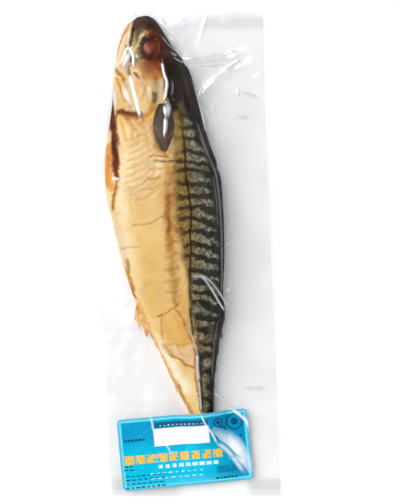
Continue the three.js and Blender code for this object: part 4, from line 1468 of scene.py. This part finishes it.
def label_print(orange, white, dark):
    """Plain rows of marks, and rings, laid on the label."""
    inks = {"orange": orange, "white": white, "dark": dark}
    makers = {ink: print_row_maker(material) for ink, material in inks.items()}
    ring_maker = print_ring_maker(dark)
    rows = [printed(makers[ink], name, foot, {
        "Count": int(marks), "Length": length * MM, "Height": height * MM, "Fill": full,
        "Uneven Width": uneven_width, "Uneven Height": uneven_height, "Seed": seed})
        for seed, (name, ink, length, height, marks, full, uneven_width, uneven_height, foot)
        in enumerate(PRINT_ROWS)]
    rings = [printed(ring_maker, name, middle, {
        "Radius": radius * MM, "Line": RING_LINE * MM, "Disc Share": DISC_SHARE})
        for name, radius, middle in PRINT_RINGS]
    return rows + rings


def ink_material(name, base, worn):
    """Printing ink, slightly rubbed."""
    material, tree, shader = new_material(name)
    rubbed = noise(object_place(tree), 700, 3, 0.7)
    fill(shader, {"Base Color": mixed(rubbed.step(0.4, 0.75), base, worn), "Roughness": 0.45,
                  "Specular IOR Level": 0.12})
    return material


# ---- Stage, lights and camera ----
TABLE_HALF, TABLE_LEVEL = 2500, -0.3
# Broad soft lights: the direction towards each, its inner and outer half angle in degrees, and its radiance.
SOFT_LIGHTS = [((-0.62, 0.34, 0.71), 16, 44, 3.1), ((0.80, 0.25, 0.42), 6, 26, 0.9),
               ((0.1, -0.8, 0.5), 6, 30, 0.9)]
STRIP_SIZE, STRIP_POWER, STRIP_AT, STRIP_TURN = (0.05, 3.0), 1.0, (0.8, 0.0, 0.28), 70
ROOM_LIGHT, ROOM_COLOUR = 0.34, (0.97, 0.985, 1.0, 1.0)


def table_top():
    corners = [(x * TABLE_HALF, y * TABLE_HALF, TABLE_LEVEL) for x, y in ((-1, -1), (1, -1), (1, 1), (-1, 1))]
    floor = make_object("table_top", corners, [np.array([[0, 1, 2, 3]])], {}, flat=(0,))
    material, tree, shader = new_material("pale_table")
    tone = noise(object_place(tree), 6, 2)
    fill(shader, {"Base Color": mixed(tone, linear(251, 251, 251), linear(253, 253, 253)), "Roughness": 0.9,
                  "Specular IOR Level": 0.1})
    floor.data.materials.append(material)


def studio():
    """A dim room with large soft lights that have no hard edge to reflect, and a long strip on the right."""
    world = bpy.data.worlds.new("studio")
    bpy.context.scene.world = world
    world.use_nodes = True
    tree = world.node_tree
    direction = put(tree, "ShaderNodeTexCoord", output="Generated")
    strength = ROOM_LIGHT
    for towards, inner, outer, radiance in SOFT_LIGHTS:
        unit = tuple(part / math.hypot(*towards) for part in towards)
        cosine = put(tree, "ShaderNodeVectorMath", {0: direction, 1: unit}, "Value", operation="DOT_PRODUCT")
        lobe = cosine.step(math.cos(math.radians(outer)), math.cos(math.radians(inner)), 0.0, radiance)
        strength = lobe + strength
    fill(tree.nodes["Background"], {"Strength": strength, "Color": ROOM_COLOUR})
    light = bpy.data.lights.new("long_strip", "AREA")
    light.shape, light.energy = "RECTANGLE", STRIP_POWER
    light.size, light.size_y = STRIP_SIZE
    strip = link_object("long_strip", light)
    strip.location = STRIP_AT
    strip.rotation_euler = (0.0, math.radians(STRIP_TURN), 0.0)
    bpy.context.scene.view_settings.view_transform = "Standard"


def overhead_camera():
    view = bpy.data.cameras.new("camera")
    view.lens, view.sensor_width = LENS, SENSOR
    view.clip_start, view.clip_end = 0.05, 20
    camera = link_object("camera", view)
    camera.location = (VIEW_CENTRE[0] * MM, VIEW_CENTRE[1] * MM, CAMERA_HEIGHT * MM)
    bpy.context.scene.camera = camera


# ---- Putting it together ----
def main():
    mottle, wrinkles = smoke_mottle_group(), fine_wrinkle_group()
    skin = smoked_skin_material(mottle, wrinkles)
    film = clear_film_material(wrinkles)
    paper = label_paper_material(wrinkles)
    eye = cooked_eye_material(mottle)
    dark_fin, crisp_fin = smoked_fin_material(mottle), crisp_fin_material(mottle)

    body = smoked_body(raised_lines_maker(skin))
    eyeball = cooked_eye(eye)
    fin_pieces = fins(ray_fin_maker(dark_fin), ray_fin_maker(crisp_fin))
    pouch = clear_pouch(raised_lines_maker(film))
    label = printed_label(raised_lines_maker(paper))
    print_pieces = label_print(
        ink_material("orange_ink", linear(238, 184, 72), linear(250, 214, 130)),
        ink_material("white_ink", linear(226, 246, 252), linear(170, 224, 240)),
        ink_material("dark_ink", linear(0, 64, 104), linear(0, 104, 150)))

    for piece, slot in [(body, "smoked_skin"), (eyeball, "cooked_eye"), (pouch, "clear_film"),
                        (label, "label_paper")] + [(piece, "smoked_fin") for piece in fin_pieces]:
        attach(piece, "root")
    for piece in print_pieces:
        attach(piece, "root")
    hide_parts("pouch")
    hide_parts("pouch")
    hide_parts("label")
    table_top()
    studio()
    overhead_camera()


main()
